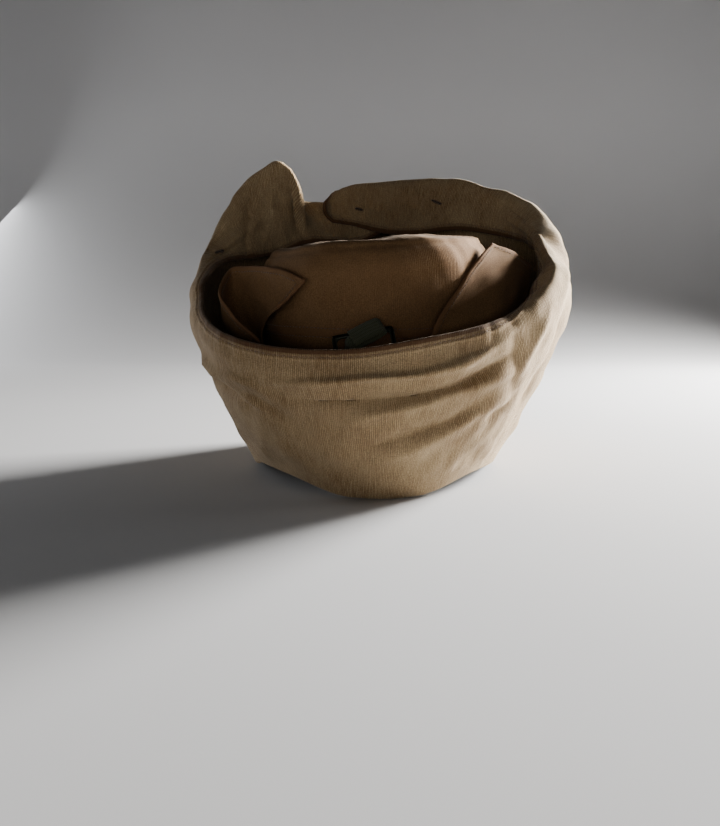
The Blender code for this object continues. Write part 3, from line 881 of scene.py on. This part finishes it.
    def lap(self, angle: np.ndarray) -> np.ndarray:
        """Return how far the right-hand end stands clear of the left-hand end at the foot."""
        return self.lap_clear * np.clip((angle - self.lap_start) / self.lap_stretch, 0.0, 1.0)

    def column(self, number: int, angle: np.ndarray) -> np.ndarray:
        """Return one column of the section table at angles in degrees."""
        marks = [-section[0] for section in self.sections]
        return smooth(marks, np.array([section[number] for section in self.sections]), -angle)

    def bare(self, angle: np.ndarray, level: np.ndarray) -> np.ndarray:
        """Return points in the middle of the cloth before it is creased.

        Args:
            angle: Degrees, an array.
            level: 0 at the foot and 1 at the rim, an array of the same shape.

        Returns:
            Points.
        """
        flat_angle = angle.ravel()
        none = np.zeros_like(flat_angle)
        outs = np.stack([none] + [self.column(n, flat_angle) for n in (2, 4, 6, 8)])
        ups = np.stack([self.column(n, flat_angle) for n in (1, 3, 5, 7, 9)])
        out = smooth(self.levels, outs, level.ravel()).reshape(angle.shape) * self.spread
        up = smooth(self.levels, ups, level.ravel()).reshape(angle.shape) * self.height
        order = np.arange(len(self.shoulders))
        where = np.interp(-angle, [-shoulder[0] for shoulder in self.shoulders], order)
        where = np.floor(where) + ease(where % 1.0)
        wider = np.interp(where, order, [shoulder[1] for shoulder in self.shoulders])
        taller = np.interp(where, order, [shoulder[2] for shoulder in self.shoulders])
        share = np.clip((level - self.levels[2]) / (self.levels[3] - self.levels[2]), 0.0, 1.0)
        near = np.sin(share * math.pi) ** 1.5
        out = out + wider * near * self.spread
        up = up + taller * near * self.height
        points = self.opening.polar(angle, self.opening.radius(angle) + out, self.cloth * 0.5 + up)
        aside = self.opening.polar(angle, self.lap(angle) * np.clip(1.0 - level * 3.0, 0.0, 1.0), 0.0)
        return points + aside - self.opening.polar(0.0, 0.0, 0.0)

    def push(self, angle: np.ndarray, level: np.ndarray) -> np.ndarray:
        """Return how far the creases push the cloth out.

        Args:
            angle: Degrees, an array.
            level: Levels, an array of the same shape.

        Returns:
            Metres, below nought where the cloth dips.
        """
        total = np.zeros_like(angle)
        # Metres round the belly for each degree, so that a crease is as wide along the cloth as up it.
        arc = math.radians(1.0) * self.opening.width * 0.7
        here = np.stack([angle * arc, level * self.height], axis=-1)
        for crease in self.creases:
            line = np.array(crease.points) * (arc, self.height)
            best = np.full(angle.shape, 1e9)
            share = np.zeros_like(angle)
            left = np.zeros_like(angle)
            count = len(line) - 1
            for i in range(count):
                run = line[i + 1] - line[i]
                t = np.clip(((here - line[i]) @ run) / (run @ run), 0.0, 1.0)
                away = np.linalg.norm(here - line[i] - t[..., None] * run, axis=-1)
                nearer = away < best
                share = np.where(nearer, (i + t) / count, share)
                across = here - line[i]
                turn = run[0] * across[..., 1] - run[1] * across[..., 0]
                left = np.where(nearer, turn / np.linalg.norm(run), left)
                best = np.minimum(best, away)
            # A crease is deepest halfway along and has about a third of its depth at its ends.
            fade = 0.35 + 0.65 * np.sin(np.clip(share, 0.0, 1.0) * math.pi) ** 0.6
            if crease.ledge > 0.0:
                ends = ease(share * 3.0) * ease((1.0 - share) * 6.0)
                # The two leaves lie close together at the turned edge, so no ledge crosses it.
                ends = ends * (1.0 - 0.92 * np.exp(-((level - self.levels[3]) / 0.055) ** 2))
                step = np.tanh(left / crease.ledge) * np.exp(-((best / crease.width) ** 1.3))
                total += crease.depth * ends * step
            else:
                total += crease.depth * fade * np.exp(-((best / crease.width) ** crease.sharp))
        return total

    def rows(self) -> np.ndarray:
        """Return the levels of the rows above the foot's roll."""
        return np.concatenate([[0.006, 0.014], np.linspace(0.024, 0.90, 74), np.linspace(0.905, 1.0, 26)])

    def grid(self) -> tuple[np.ndarray, np.ndarray, np.ndarray]:
        """Lay out the cloth, with its folds and its foot's roll.

        Returns:
            The middle of the cloth, and the angle and the level of each of its points.
        """
        first = self.sections[0][0]
        last = self.sections[-1][0]
        share = np.linspace(0.0, 1.0, self.stations + 1)
        straight = first + (last - first) * share
        level = self.rows()
        turn = smooth([end[0] for end in self.right_end], np.array([end[1] for end in self.right_end]), level)
        angle = straight[None] + turn[:, None] * np.clip(1.0 - share * 12.0, 0.0, None)[None]
        rise = np.broadcast_to(level[:, None], angle.shape)
        points = self.bare(angle, rise)
        run = np.gradient(points, axis=1)
        outward = unit(np.stack([-run[..., 1], run[..., 0], np.zeros_like(run[..., 0])], axis=-1))
        flat_angle = np.broadcast_to(straight[None], angle.shape)
        points = points + outward * (self.push(flat_angle, rise) * self.side(outward, points))[..., None]
        lift = np.maximum(self.column(1, straight), 0.0) * self.height
        roll = []
        for out, up in self.foot_roll:
            radius = self.opening.radius(straight) + out + self.lap(straight)
            roll.append(self.opening.polar(straight, radius, up + lift))
        points = np.concatenate([np.stack(roll), points])
        below = np.broadcast_to(straight[None], (len(roll), straight.size))
        angle = np.concatenate([below, flat_angle])
        rise = np.concatenate([np.zeros(below.shape), rise])
        return points, angle, rise

    def side(self, outward: np.ndarray, points: np.ndarray) -> float:
        """Tell which way directions point.

        Args:
            outward: A direction at each point.
            points: The points.

        Returns:
            1 if most of them point away from the opening's middle, else -1.
        """
        centre = np.array([*self.opening.centre, 0.0])
        radial = (points - centre) * (1.0, 1.0, 0.0)
        return 1.0 if float((outward * radial).sum()) > 0.0 else -1.0

    def build(self) -> bpy.types.Object:
        """Build the curtain with its stitches and buttonholes.

        Returns:
            The curtain's cloth.
        """
        points, angle, level = self.grid()
        rise = arc_lengths(points, 0)
        run = arc_lengths(points, 1)
        to_rim = rise[-1][None] - rise
        to_end = np.minimum(run, run[:, -1][:, None] - run)
        edge = nearest(to_rim, to_end)
        middle = np.broadcast_to(run[self.measured_row][None], points.shape[:2])
        normal = grid_normals(points)
        # The relief stays off the foot, and is small where the two ends lap.
        calm = ease((level - 0.02) * 12.0)
        apart = ease((72.0 - angle) / 8.0) * ease((angle + 268.0) / 10.0)
        relief = self.swells[0].at(middle, rise) + self.swells[1].at(middle, rise)
        # The hem's stitches draw the cloth into short waves across it.
        pucker = self.pucker.at(middle, rise * 0.2) * np.exp(-((edge - 0.006) / 0.006) ** 2)
        points = points + normal * ((relief * (0.25 + 0.75 * apart) + pucker) * calm)[..., None]
        full = self.cloth + (self.hem_thick - self.cloth) * ease((self.hem_depth + 0.0016 - edge) / 0.0012)
        groove = 0.0011 * np.exp(-((edge - self.hem_depth + self.groove_in) / 0.00055) ** 2)
        thick = (full - groove) * rounded(edge, self.hem_thick)
        # The hem is a little rubbed as far as its stitches, and dark on the piping at its edge.
        hem = 0.35 * ease((self.hem_depth - edge) / 0.0010) + 0.65 * ease((self.piping - edge) / 0.0009)
        uv = np.stack([middle, rise], axis=-1)
        made = cloth_object("neck_curtain", points, thick, KHAKI.get(), uv, hem)
        above_roll = np.arange(len(points)) > 2 * len(self.foot_roll)
        rows = hem_rows(points, thick, to_rim, run, self.hem_depth - self.groove_in, above_roll)
        HEM_STITCH.sew("curtain_stitching", rows, THREAD.get())
        self.buttonholes(points, grid_normals(points), thick, angle, level)
        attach(made, "root")
        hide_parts("curtain")
        return made

    def buttonholes(self, points: np.ndarray, normal: np.ndarray, thick: np.ndarray, angle: np.ndarray,
                    level: np.ndarray) -> None:
        """Work the buttonholes on both faces of the cloth: two whipped lips with a slit of painted shadow,
        near-black stitches, between them.

        Args:
            points: The middle of the cloth.
            normal: Directions across the cloth.
            thick: Thickness at each point.
            angle: Angle of each point.
            level: Level of each point.
        """
        lips = []
        slits = []
        for turn, up, lean, length in self.holes:
            row = int(np.argmin(np.abs(level[:, 0] - up)))
            column = int(np.argmin(np.abs(angle[0] - turn)))
            across = unit(points[row, column + 1] - points[row, column - 1])
            rise = unit(points[row + 1, column] - points[row - 1, column])
            run = unit(across * math.cos(math.radians(lean)) + rise * math.sin(math.radians(lean)))
            for sign in (1.0, -1.0):
                out = normal[row, column] * sign
                side = unit(np.cross(out, run))
                middle = points[row, column] + out * (thick[row, column] * 0.5)
                share = np.linspace(-0.5, 0.5, 9)[:, None]
                bow = 1.0 - (2.0 * share) ** 2
                away = np.repeat(out[None], 9, axis=0)
                for half in (1.0, -1.0):
                    lips.append((middle + run * length * share + side * half * (0.0003 + 0.0008 * bow), away))
                slits.append((middle + run * length * 0.9 * share, away))
        LIP_STITCH.sew("buttonhole_lips", lips, DARK_THREAD.get())
        SLIT_STITCH.sew("buttonhole_slits", slits, PAINTED_SLIT_SHADOW.get())


@dataclass
class Headband:
    """The band round the opening, from the foot's roll up to the crown's seam."""

    opening: Opening
    curtain: NeckCurtain
    height: float = 0.099
    cloth: float = 0.0016
    foot_reach: float = 0.928
    top_reach: float = 0.857
    foot_clear: float = 0.003
    # Radius at which a degree round the band is laid out on the flat cloth, and how far the edges are rubbed.
    mean_radius: float = 0.095
    rubbed: float = 0.004
    relief: Ripple = Ripple(3, 0.03, 0.0003)
    stations: int = 240

    def radius(self, angle: np.ndarray, height: np.ndarray) -> np.ndarray:
        """Return the radius of the middle of the band's cloth."""
        reach = self.foot_reach + (self.top_reach - self.foot_reach) * height / self.height
        return self.opening.radius(angle) * reach

    def build(self) -> bpy.types.Object:
        """Build the band.

        Returns:
            The band's cloth.
        """
        angle = np.linspace(0.0, 360.0, self.stations, endpoint=False)
        turned = np.where(angle < 90.0, angle, angle - 360.0)
        foot = self.foot_clear + np.maximum(self.curtain.column(1, turned), 0.0) * self.curtain.height
        share = np.linspace(0.0, 1.0, 26)[:, None]
        height = foot[None] + (self.height - foot[None]) * share
        points = self.opening.polar(angle[None], self.radius(angle[None], height), height)
        run = np.radians(angle)[None] * self.mean_radius + np.zeros_like(height)
        relief = self.relief.at(np.cos(run * 10) * 0.1, height)
        points = points + grid_normals(points, True) * (relief * np.sin(share * math.pi))[..., None]
        edge = np.minimum(height - foot[None], self.height - height)
        thick = self.cloth * rounded(edge, self.cloth)
        uv = np.stack([run, height], axis=-1)
        hem = np.clip(1.0 - edge / self.rubbed, 0.0, 1.0)
        made = cloth_object("headband_cloth", points, thick, TAN.get(), uv, hem, wrap=True)
        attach(made, "root")
        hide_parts("headband")
        LOG.info("headband: %d faces", len(made.data.polygons))
        return made


@dataclass
class Crown:
    """The soft dome, lapped over the band's top edge and stitched twice."""

    opening: Opening
    band: Headband
    top: float = 0.170
    lean: float = 0.07
    lap: float = 0.006
    gap: float = 0.0007
    seam_up: float = 0.0145
    seam_rows: tuple[float, ...] = (0.0115, 0.0175)
    stations: int = 260
    # Share of the rise from the seam to the top, and reach as a share of the opening's radius.
    levels: tuple[tuple[float, float], ...] = (
        (0.0, 0.0), (0.20, 0.016), (0.42, 0.030), (0.62, 0.034), (0.79, 0.018), (0.90, -0.040),
        (0.965, -0.130), (0.993, -0.330),
    )
    # Shares of the last level's reach at which the rows of the top stand.
    inward: tuple[float, ...] = (0.82, 0.64, 0.46, 0.30, 0.15)
    dent: Ripple = Ripple(21, 0.060, 0.0011)
    fine: Ripple = Ripple(22, 0.021, 0.00035)
    # A dent may stand out no further than this, to stay clear of the curtain.
    dent_limit: float = 0.0006

    def radius(self, angle: np.ndarray, share: np.ndarray) -> np.ndarray:
        """Read how far out the middle of the crown's cloth stands.

        Args:
            angle: Degrees.
            share: 0 at the seam and 1 at the top, an array of the same shape.

        Returns:
            Radii.
        """
        marks, reaches = zip(*self.levels)
        reach = smooth(marks, np.array(reaches), share)
        seam = self.band.radius(angle, np.full_like(angle, self.band.height - self.lap))
        return seam + self.band.cloth + self.gap + reach * self.opening.radius(angle)

    def build(self) -> bpy.types.Object:
        """Build the crown with its double seam.

        Returns:
            The crown's cloth.
        """
        angle = np.linspace(0.0, 360.0, self.stations, endpoint=False)
        side = np.concatenate([np.linspace(0.0, 0.25, 42), np.linspace(0.268, 0.88, 34)])
        dome = np.array([0.90, 0.92, 0.94, 0.955, 0.968, 0.980, 0.988, 0.993])
        share = np.concatenate([side, dome])
        seam = self.band.height - self.lap
        grid_angle, grid_share = np.meshgrid(angle, share)
        radius = self.radius(grid_angle, grid_share)
        rise = self.top - seam + self.lean * radius * np.cos(np.radians(grid_angle))
        height = seam + rise * grid_share
        rows = [self.opening.polar(grid_angle, radius, height)]
        last = radius[-1]
        for inward in self.inward:
            rise = self.top - seam + self.lean * last * inward * np.cos(np.radians(angle))
            # The top is a shallow dome over the last level.
            lifted = seam + rise * (0.993 + 0.007 * (1.0 - inward ** 2))
            rows.append(self.opening.polar(angle, last * inward, lifted)[None])
        points = np.concatenate(rows)
        flat_x = points[..., 0]
        flat_y = points[..., 1]
        dent = self.dent.at(flat_x + points[..., 2], flat_y)
        fine = self.fine.at(flat_x + points[..., 2] * 0.6, flat_y)
        up = points[..., 2] - seam
        calm = ease((up - 0.004) / 0.02)
        relief = np.minimum(dent, self.dent_limit) * calm + fine * calm
        points = points + grid_normals(points, True) * relief[..., None]
        ridge = 0.0011 * np.exp(-((up - self.seam_up) / 0.0042) ** 4)
        thick = np.full(up.shape, self.band.cloth) + ridge
        for row in self.seam_rows:
            thick = thick - 0.0006 * np.exp(-((up - row) / 0.0006) ** 2)
        thick *= rounded(np.maximum(up, 0.0), self.band.cloth)
        run = np.broadcast_to(np.radians(angle)[None] * 0.09, up.shape)
        uv = np.stack([run, arc_lengths(points, 0)], axis=-1)
        hem = np.exp(-((up - self.seam_up) / 0.004) ** 2) * 0.6
        pole = (*self.opening.centre, self.top)
        made = cloth_object("crown_cloth", points, thick, TAN.get(), uv, hem, wrap=True, pole=pole)
        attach(made, "root")
        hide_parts("crown")
        normal = grid_normals(points, True)
        face = points + normal * (thick * 0.5)[..., None]
        lines = []
        for row in self.seam_rows:
            line, away = cross_line(-up, -row, (face, normal))
            lines.append((np.concatenate([line, line[:1]]), np.concatenate([away, away[:1]])))
        FINE_STITCH.sew("crown_stitching", lines, DARK_THREAD.get())
        LOG.info("crown: %d faces", len(made.data.polygons))
        return made


@dataclass
class EarFlap:
    """An inner flap that stands up between the crown and the curtain."""

    name: str
    node: str
    band: Headband
    # Rows of points: angle, reach as a share of the opening's depth, height as a share of the cap's, and 1
    # where the cloth lies against the band, whatever the reach.
    table: tuple[tuple[tuple[float, float, float, int], ...], ...]
    along: int
    across: int
    flat: tuple[float, float]
    relief: Ripple
    cloth: float = 0.0016
    hem_depth: float = 0.0056
    stitches_in: float = 0.0040

    def seat(self, angle: np.ndarray, height: np.ndarray) -> np.ndarray:
        """Return the radius at which the flap lies against the band."""
        return self.band.radius(angle, height) + (self.band.cloth + self.cloth) / 2 + 0.0005

    def grid(self) -> np.ndarray:
        """Lay out the flap.

        Returns:
            The middle of its cloth, rows by columns by three.
        """
        opening = self.band.opening
        shift = np.array([*opening.centre, 0.0])
        tall = self.band.curtain.height
        places = []
        for row in self.table:
            line = np.array(row, float)
            up = line[:, 2] * tall
            radius = np.where(line[:, 3] > 0, self.seat(line[:, 0], up), line[:, 1] * opening.depth)
            places.append(opening.polar(line[:, 0], radius, up) - shift)
        control = np.stack(places)
        u = np.linspace(0.0, 1.0, self.along)
        v = np.linspace(0.0, 1.0, self.across)
        marks = np.linspace(0.0, 1.0, control.shape[1])
        steps = np.linspace(0.0, 1.0, control.shape[0])
        lines = np.empty((len(control), self.along, 3))
        for number, row in enumerate(control):
            for axis in range(3):
                lines[number, :, axis] = smooth(marks, row[:, axis], u)
        points = np.empty((self.across, self.along, 3))
        for j in range(self.along):
            for axis in range(3):
                points[:, j, axis] = smooth(steps, lines[:, j, axis], v)
        angle = np.degrees(np.arctan2(points[..., 1], points[..., 0]))
        radius = np.hypot(points[..., 0], points[..., 1])
        radius = np.maximum(radius, self.seat(angle, points[..., 2]))
        return opening.polar(angle, radius, points[..., 2])

    def build(self) -> bpy.types.Object:
        """Build the flap with its stitched edge.

        Returns:
            The flap's cloth.
        """
        points = self.grid()
        run = arc_lengths(points, 1)
        rise = arc_lengths(points, 0)
        to_rim = rise[-1][None] - rise
        edge = nearest(to_rim, run, run[:, -1][:, None] - run)
        normal = grid_normals(points)
        points = points + normal * (self.relief.at(run, rise) * ease(rise / 0.02))[..., None]
        full = self.cloth + 0.0007 * ease((self.hem_depth - edge) / 0.001)
        thick = full - 0.0007 * np.exp(-((edge - self.stitches_in) / 0.0005) ** 2)
        thick *= rounded(edge, self.cloth)
        uv = np.stack([run, rise], axis=-1)
        hem = np.clip(1.0 - edge / 0.0045, 0.0, 1.0)
        made = cloth_object(self.name, points, thick, TAN.get(), uv, hem)
        rows = hem_rows(points, thick, to_rim, run, self.stitches_in, rise[:, 0] > 0.006)
        FINE_STITCH.sew(self.name + "_stitching", rows, DARK_THREAD.get())
        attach(made, "root")
        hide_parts(self.node)
        LOG.info("%s: %d faces, %.0f by %.0f mm", self.name, len(made.data.polygons),
                 float(run[:, -1].mean()) * 1000, float(rise[-1].mean()) * 1000)
        return made


LEFT_FLAP = (
    ((233, 0.43, 0.330, 1), (225, 0.42, 0.325, 1), (216, 0.41, 0.325, 1), (208, 0.41, 0.340, 1),
     (209, 0.440, 0.430, 0), (214, 0.450, 0.475, 0), (221, 0.465, 0.505, 0), (229, 0.475, 0.535, 0)),
    ((232, 0.545, 0.390, 0), (221, 0.555, 0.420, 0), (209, 0.550, 0.455, 0), (200, 0.505, 0.505, 0),
     (204, 0.468, 0.540, 0), (214, 0.455, 0.560, 0), (226, 0.457, 0.570, 0), (237, 0.470, 0.575, 0)),
    ((232, 0.588, 0.444, 0), (219, 0.585, 0.510, 0), (207, 0.580, 0.578, 0), (196, 0.520, 0.645, 0),
     (202, 0.472, 0.653, 0), (213, 0.450, 0.652, 0), (229, 0.450, 0.640, 0), (242, 0.466, 0.610, 0)),
)
RIGHT_FLAP = (
    ((290, 0.43, 0.340, 1), (312, 0.41, 0.335, 1), (334, 0.40, 0.330, 1)),
    ((291, 0.490, 0.483, 0), (317, 0.515, 0.480, 0), (344, 0.525, 0.470, 0)),
    ((306, 0.450, 0.600, 0), (329, 0.495, 0.585, 0), (352, 0.545, 0.560, 0)),
    ((318, 0.432, 0.664, 0), (337, 0.485, 0.640, 0), (358, 0.560, 0.615, 0)),
    ((334, 0.434, 0.722, 0), (345, 0.485, 0.700, 0), (361, 0.565, 0.665, 0)),
)


@dataclass
class Adjuster:
    """The webbing strap round the back, its folded end and the painted slide that holds it."""

    band: Headband
    strap_width: float = 0.020
    strap_thick: float = 0.0014
    slide_length: float = 0.040
    slide_width: float = 0.020
    slide_thick: float = 0.0020
    loop_length: float = 0.026
    gap: float = 0.0005
    # The strap's upper edge lies this far below the band's top, and the strap runs between two angles.
    strap_drop: float = 0.007
    strap_span: tuple[float, float] = (240.0, 282.0)
    # The slide's middle: angle, reach beyond the opening, and height; then which way it runs and faces.
    slide_angle: float = 265.6
    slide_reach: float = 0.0018
    slide_up: float = 0.101616
    slide_run: tuple[float, float, float] = (0.985, 0.0, 0.17)
    slide_face: tuple[float, float, float] = (0.05, -0.80, 0.60)
    # The strap's end as a share of the slide's width.
    loop_share: float = 0.60
    # It stands this far above the slide's middle and leans up to the right.
    loop_up: float = 0.0034
    loop_lean: tuple[float, float] = (0.94, 0.34)
    # The angles where it lies on the strap, and its fold through and over the slide: places as shares of its
    # length, and heights over the slide.
    loop_root: tuple[float, float, float] = (244.0, 247.0, 250.0)
    loop_fold: tuple[tuple[float, float], ...] = (
        (-0.42, -0.0080), (-0.41, -0.0042), (-0.34, -0.0006), (-0.20, 0.0003), (0.15, 0.0003), (0.42, 0.0012),
        (0.54, 0.0028), (0.50, 0.0046), (0.30, 0.0058), (0.0, 0.0062), (-0.30, 0.0056),
    )

    def slide_place(self) -> tuple[Vector, Vector, Vector, Vector]:
        """Place the slide.

        Returns:
            Its middle, and its directions along, upward and outward.
        """
        opening = self.band.opening
        angle = np.array(self.slide_angle)
        reach = opening.radius(angle) + self.slide_reach
        middle = Vector(opening.polar(angle, reach, np.array(self.slide_up)))
        along = Vector(self.slide_run).normalized()
        outward = Vector(self.slide_face).normalized()
        upward = outward.cross(along).normalized()
        return middle, along, upward, along.cross(upward).normalized()

    def strap(self) -> bpy.types.Object:
        """Build the strap against the band.

        Returns:
            The strap.
        """
        foot = self.band.height - self.strap_drop - self.strap_width
        height = foot + self.strap_width * np.linspace(0.0, 1.0, 13)[:, None]
        angle = np.linspace(*self.strap_span, 90)[None]
        clear = self.band.cloth / 2 + self.gap + self.strap_thick / 2 + 0.0002
        points = self.band.opening.polar(angle, self.band.radius(angle, height) + clear, height + angle * 0)
        rise = arc_lengths(points, 0)
        run = arc_lengths(points, 1)
        edge = np.minimum(rise, rise[-1][None] - rise)
        # The selvedges are a little thinner than the middle.
        thick = self.strap_thick * (0.88 + 0.12 * ease((edge - 0.0012) / 0.0008))
        thick = thick * rounded(edge, self.strap_thick)
        uv = np.stack([run, rise], axis=-1)
        made = cloth_object("strap_webbing", points, thick, WEBBING.get(), uv)
        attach(made, "root")
        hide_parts("adjuster_strap")
        return made

    def loop(self) -> bpy.types.Object:
        """Build the strap's end, up through the slide and folded over it.

        Returns:
            The strap's end.
        """
        middle, along, upward, outward = self.slide_place()
        opening = self.band.opening
        lift = self.slide_thick / 2 + self.strap_thick / 2 + self.gap
        lean = (along * self.loop_lean[0] + upward * self.loop_lean[1]).normalized()
        side = outward.cross(lean).normalized()
        width = self.slide_width * self.loop_share
        centre = self.band.height - self.strap_drop - self.strap_width / 2
        clear = self.band.cloth / 2 + self.strap_thick * 1.5 + 2 * self.gap
        rows = []
        for share in np.linspace(-0.5, 0.5, 9):
            height = np.full(3, centre + width * share)
            angle = np.array(self.loop_root)
            line = list(opening.polar(angle, self.band.radius(angle, height) + clear, height))
            for x, z in self.loop_fold:
                place = middle + upward * self.loop_up + lean * (x * self.loop_length) + outward * (lift + z)
                line.append(np.array(place + side * (width * float(share))))
            control = np.array(line)
            marks = np.concatenate([[0.0], np.cumsum(np.linalg.norm(np.diff(control, axis=0), axis=1))])
            where = np.linspace(0.0, marks[-1], 110)
            rows.append(np.stack([smooth(marks, control[:, axis], where) for axis in range(3)], axis=-1))
        points = np.stack(rows)
        rise = arc_lengths(points, 0)
        run = arc_lengths(points, 1)
        edge = np.minimum(np.minimum(rise, rise[-1][None] - rise), run[:, -1][:, None] - run)
        thick = self.strap_thick * rounded(edge, self.strap_thick)
        made = cloth_object("strap_end", points, thick, WEBBING.get(), np.stack([run, rise], axis=-1))
        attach(made, "root")
        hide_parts("strap_loop")
        return made

    def slide(self) -> bpy.types.Object:
        """Build the slide, a stamped frame with one window.

        Returns:
            The slide.
        """
        bpy.ops.object.select_all(action="DESELECT")
        bpy.ops.mesh.primitive_cube_add(size=1.0, location=(0.0, 0.0, 0.0))
        made = bpy.context.active_object
        made.name = "enamelled_slide"
        made.data.name = "enamelled_slide"
        made.scale = (self.slide_length, self.slide_width, self.slide_thick)
        bpy.ops.object.transform_apply(location=True, rotation=True, scale=True)
        bpy.ops.object.mode_set(mode="EDIT")
        bpy.ops.mesh.select_mode(type="FACE")
        bpy.ops.mesh.select_all(action="DESELECT")
        shell = bmesh.from_edit_mesh(made.data)
        for face in shell.faces:
            face.select = abs(face.normal.z) > 0.9
        bmesh.update_edit_mesh(made.data)
        bpy.ops.mesh.inset(thickness=self.slide_width * 0.15, use_individual=True)
        bpy.ops.mesh.bridge_edge_loops()
        bpy.ops.object.mode_set(mode="OBJECT")
        corner = made.modifiers.new("corners", "BEVEL")
        corner.width = self.slide_width * 0.16
        corner.segments = 4
        corner.limit_method = "WEIGHT"
        weights = made.data.attributes.new("bevel_weight_edge", "FLOAT", "EDGE")
        for edge in made.data.edges:
            a, b = (made.data.vertices[i].co for i in edge.vertices)
            upright = abs(a.z - b.z) > self.slide_thick * 0.9
            weights.data[edge.index].value = 1.0 if upright else 0.0
        bpy.ops.object.modifier_apply(modifier="corners")
        soft = made.modifiers.new("rolled_edges", "BEVEL")
        soft.width = self.slide_thick * 0.32
        soft.segments = 3
        soft.limit_method = "ANGLE"
        soft.angle_limit = math.radians(40.0)
        bpy.ops.object.modifier_apply(modifier="rolled_edges")
        middle, along, upward, outward = self.slide_place()
        turn = Matrix((along, upward, outward)).transposed().to_4x4()
        made.data.transform(Matrix.Translation(middle) @ turn)
        bpy.ops.object.shade_smooth_by_angle(angle=math.radians(35.0))
        made.data.materials.clear()
        made.data.materials.append(ENAMEL.get())
        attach(made, "root")
        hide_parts("slide_buckle")
        return made

    def build(self) -> None:
        """Build the slide, the strap and its folded end."""
        slide = self.slide()
        strap = self.strap()
        loop = self.loop()
        LOG.info("adjuster: %d, %d and %d faces", *(len(o.data.polygons) for o in (slide, strap, loop)))


@dataclass(frozen=True)
class SoftBox:
    """A rectangular soft light: its power is in watts, its colour linear and its spread in degrees."""

    name: str
    place: tuple[float, float, float]
    target: tuple[float, float, float]
    size: tuple[float, float]
    power: float
    colour: tuple[float, float, float]
    spread: float = 180.0

    def build(self) -> None:
        """Add the light."""
        data = bpy.data.lights.new(self.name, "AREA")
        data.spread = math.radians(self.spread)
        data.shape = "RECTANGLE"
        data.size, data.size_y = self.size
        data.energy = self.power
        data.color = self.colour
        made = bpy.data.objects.new(self.name, data)
        bpy.context.scene.collection.objects.link(made)
        made.location = self.place
        made.rotation_euler = (Vector(self.target) - Vector(self.place)).to_track_quat("-Z", "Y").to_euler()


WARM = (1.0, 0.98, 0.95)
COOL = (0.97, 0.98, 1.0)


@dataclass(frozen=True)
class Studio:
    """The floor that curves up behind, the soft light and the camera."""

    floor_tone: str = "#aaaaab"
    # The floor's front edge, where its curve starts, the curve's radius, half the width, the backdrop's top.
    front: float = -2.4
    bend: float = 0.7
    radius: float = 0.5
    half_width: float = 3.0
    top: float = 2.6
    sky: str = "#c8ccd2"
    ambient: float = 0.03
    eye: tuple[float, float, float] = (-0.0179, -0.5618, 0.140)
    # Degrees up from looking straight down, and the lens over a sensor's width in millimetres.
    tilt: float = 80.0
    lens: float = 32.25
    sensor: float = 36.0
    boxes: tuple[SoftBox, ...] = (
        SoftBox("window", (1.08, 0.72, 0.44), (0.0, 0.0, 0.11), (0.45, 0.30), 60.0, WARM, 95.0),
        SoftBox("sill", (1.20, 0.42, 0.07), (0.0, 0.0, 0.07), (0.7, 0.11), 9.0, WARM, 110.0),
        SoftBox("floor_fill", (-1.1, 0.9, 0.22), (-0.35, 0.1, 0.0), (0.8, 0.25), 12.0, COOL),
        SoftBox("wall_fill", (-1.4, -0.50, 0.10), (0.0, 0.0, 0.06), (1.0, 0.18), 1.8, COOL),
        SoftBox("room_fill", (-0.2, -1.7, 0.16), (0.0, 0.0, 0.11), (1.8, 0.30), 4.3, WARM),
    )

    def floor(self) -> None:
        """Build the pale floor, which curves up into a backdrop."""
        profile = [(self.front, 0.0), (self.bend, 0.0)]
        steps = 16
        for k in range(1, steps + 1):
            turn = math.radians(90.0 * k / steps)
            y = self.bend + self.radius * math.sin(turn)
            profile.append((y, self.radius - self.radius * math.cos(turn)))
        profile.append((self.bend + self.radius, self.top))
        sides = (-self.half_width, self.half_width)
        points = np.array([(x, y, z) for y, z in profile for x in sides], float)
        faces = [(2 * k, 2 * k + 1, 2 * k + 3, 2 * k + 2) for k in range(len(profile) - 1)]
        paint = PaintedBoard("matt_painted_board", self.floor_tone).get()
        made = mesh_object("floor", points, faces, [paint], recalculate=False)

    def camera(self) -> None:
        """Add the camera where the photograph was taken."""
        data = bpy.data.cameras.new("camera")
        data.lens = self.lens
        data.sensor_width = self.sensor
        made = bpy.data.objects.new("camera", data)
        bpy.context.scene.collection.objects.link(made)
        made.location = self.eye
        made.rotation_euler = (math.radians(self.tilt), 0.0, 0.0)
        bpy.context.scene.camera = made

    def build(self) -> None:
        """Build the floor, the lights and the camera."""
        self.floor()
        for box in self.boxes:
            box.build()
        world = bpy.data.worlds.new("studio")
        bpy.context.scene.world = world
        world.use_nodes = True
        feed(world.node_tree.nodes["Background"], {0: linear(self.sky), 1: self.ambient})
        self.camera()
        LOG.info("studio: floor, %d lights and camera", len(self.boxes))


def main() -> None:
    """Build every piece in order."""
    logging.basicConfig(level=logging.INFO, format="%(message)s")
    Studio().build()
    low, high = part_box("crown")
    opening = Opening(centre=((low.x + high.x) / 2, (low.y + high.y) / 2))
    curtain = NeckCurtain(opening)
    curtain.build()
    band = Headband(opening, curtain)
    band.build()
    Crown(opening, band).build()
    EarFlap("left_ear_flap", "ear_flap_left", band, LEFT_FLAP, along=120, across=44, flat=(0.145, 0.058),
            relief=Ripple(31, 0.028, 0.00045)).build()
    EarFlap("right_ear_flap", "ear_flap_right", band, RIGHT_FLAP, along=60, across=100, flat=(0.085, 0.115),
            relief=Ripple(37, 0.028, 0.00045)).build()
    Adjuster(band).build()


if __name__ == "__main__":
    main()
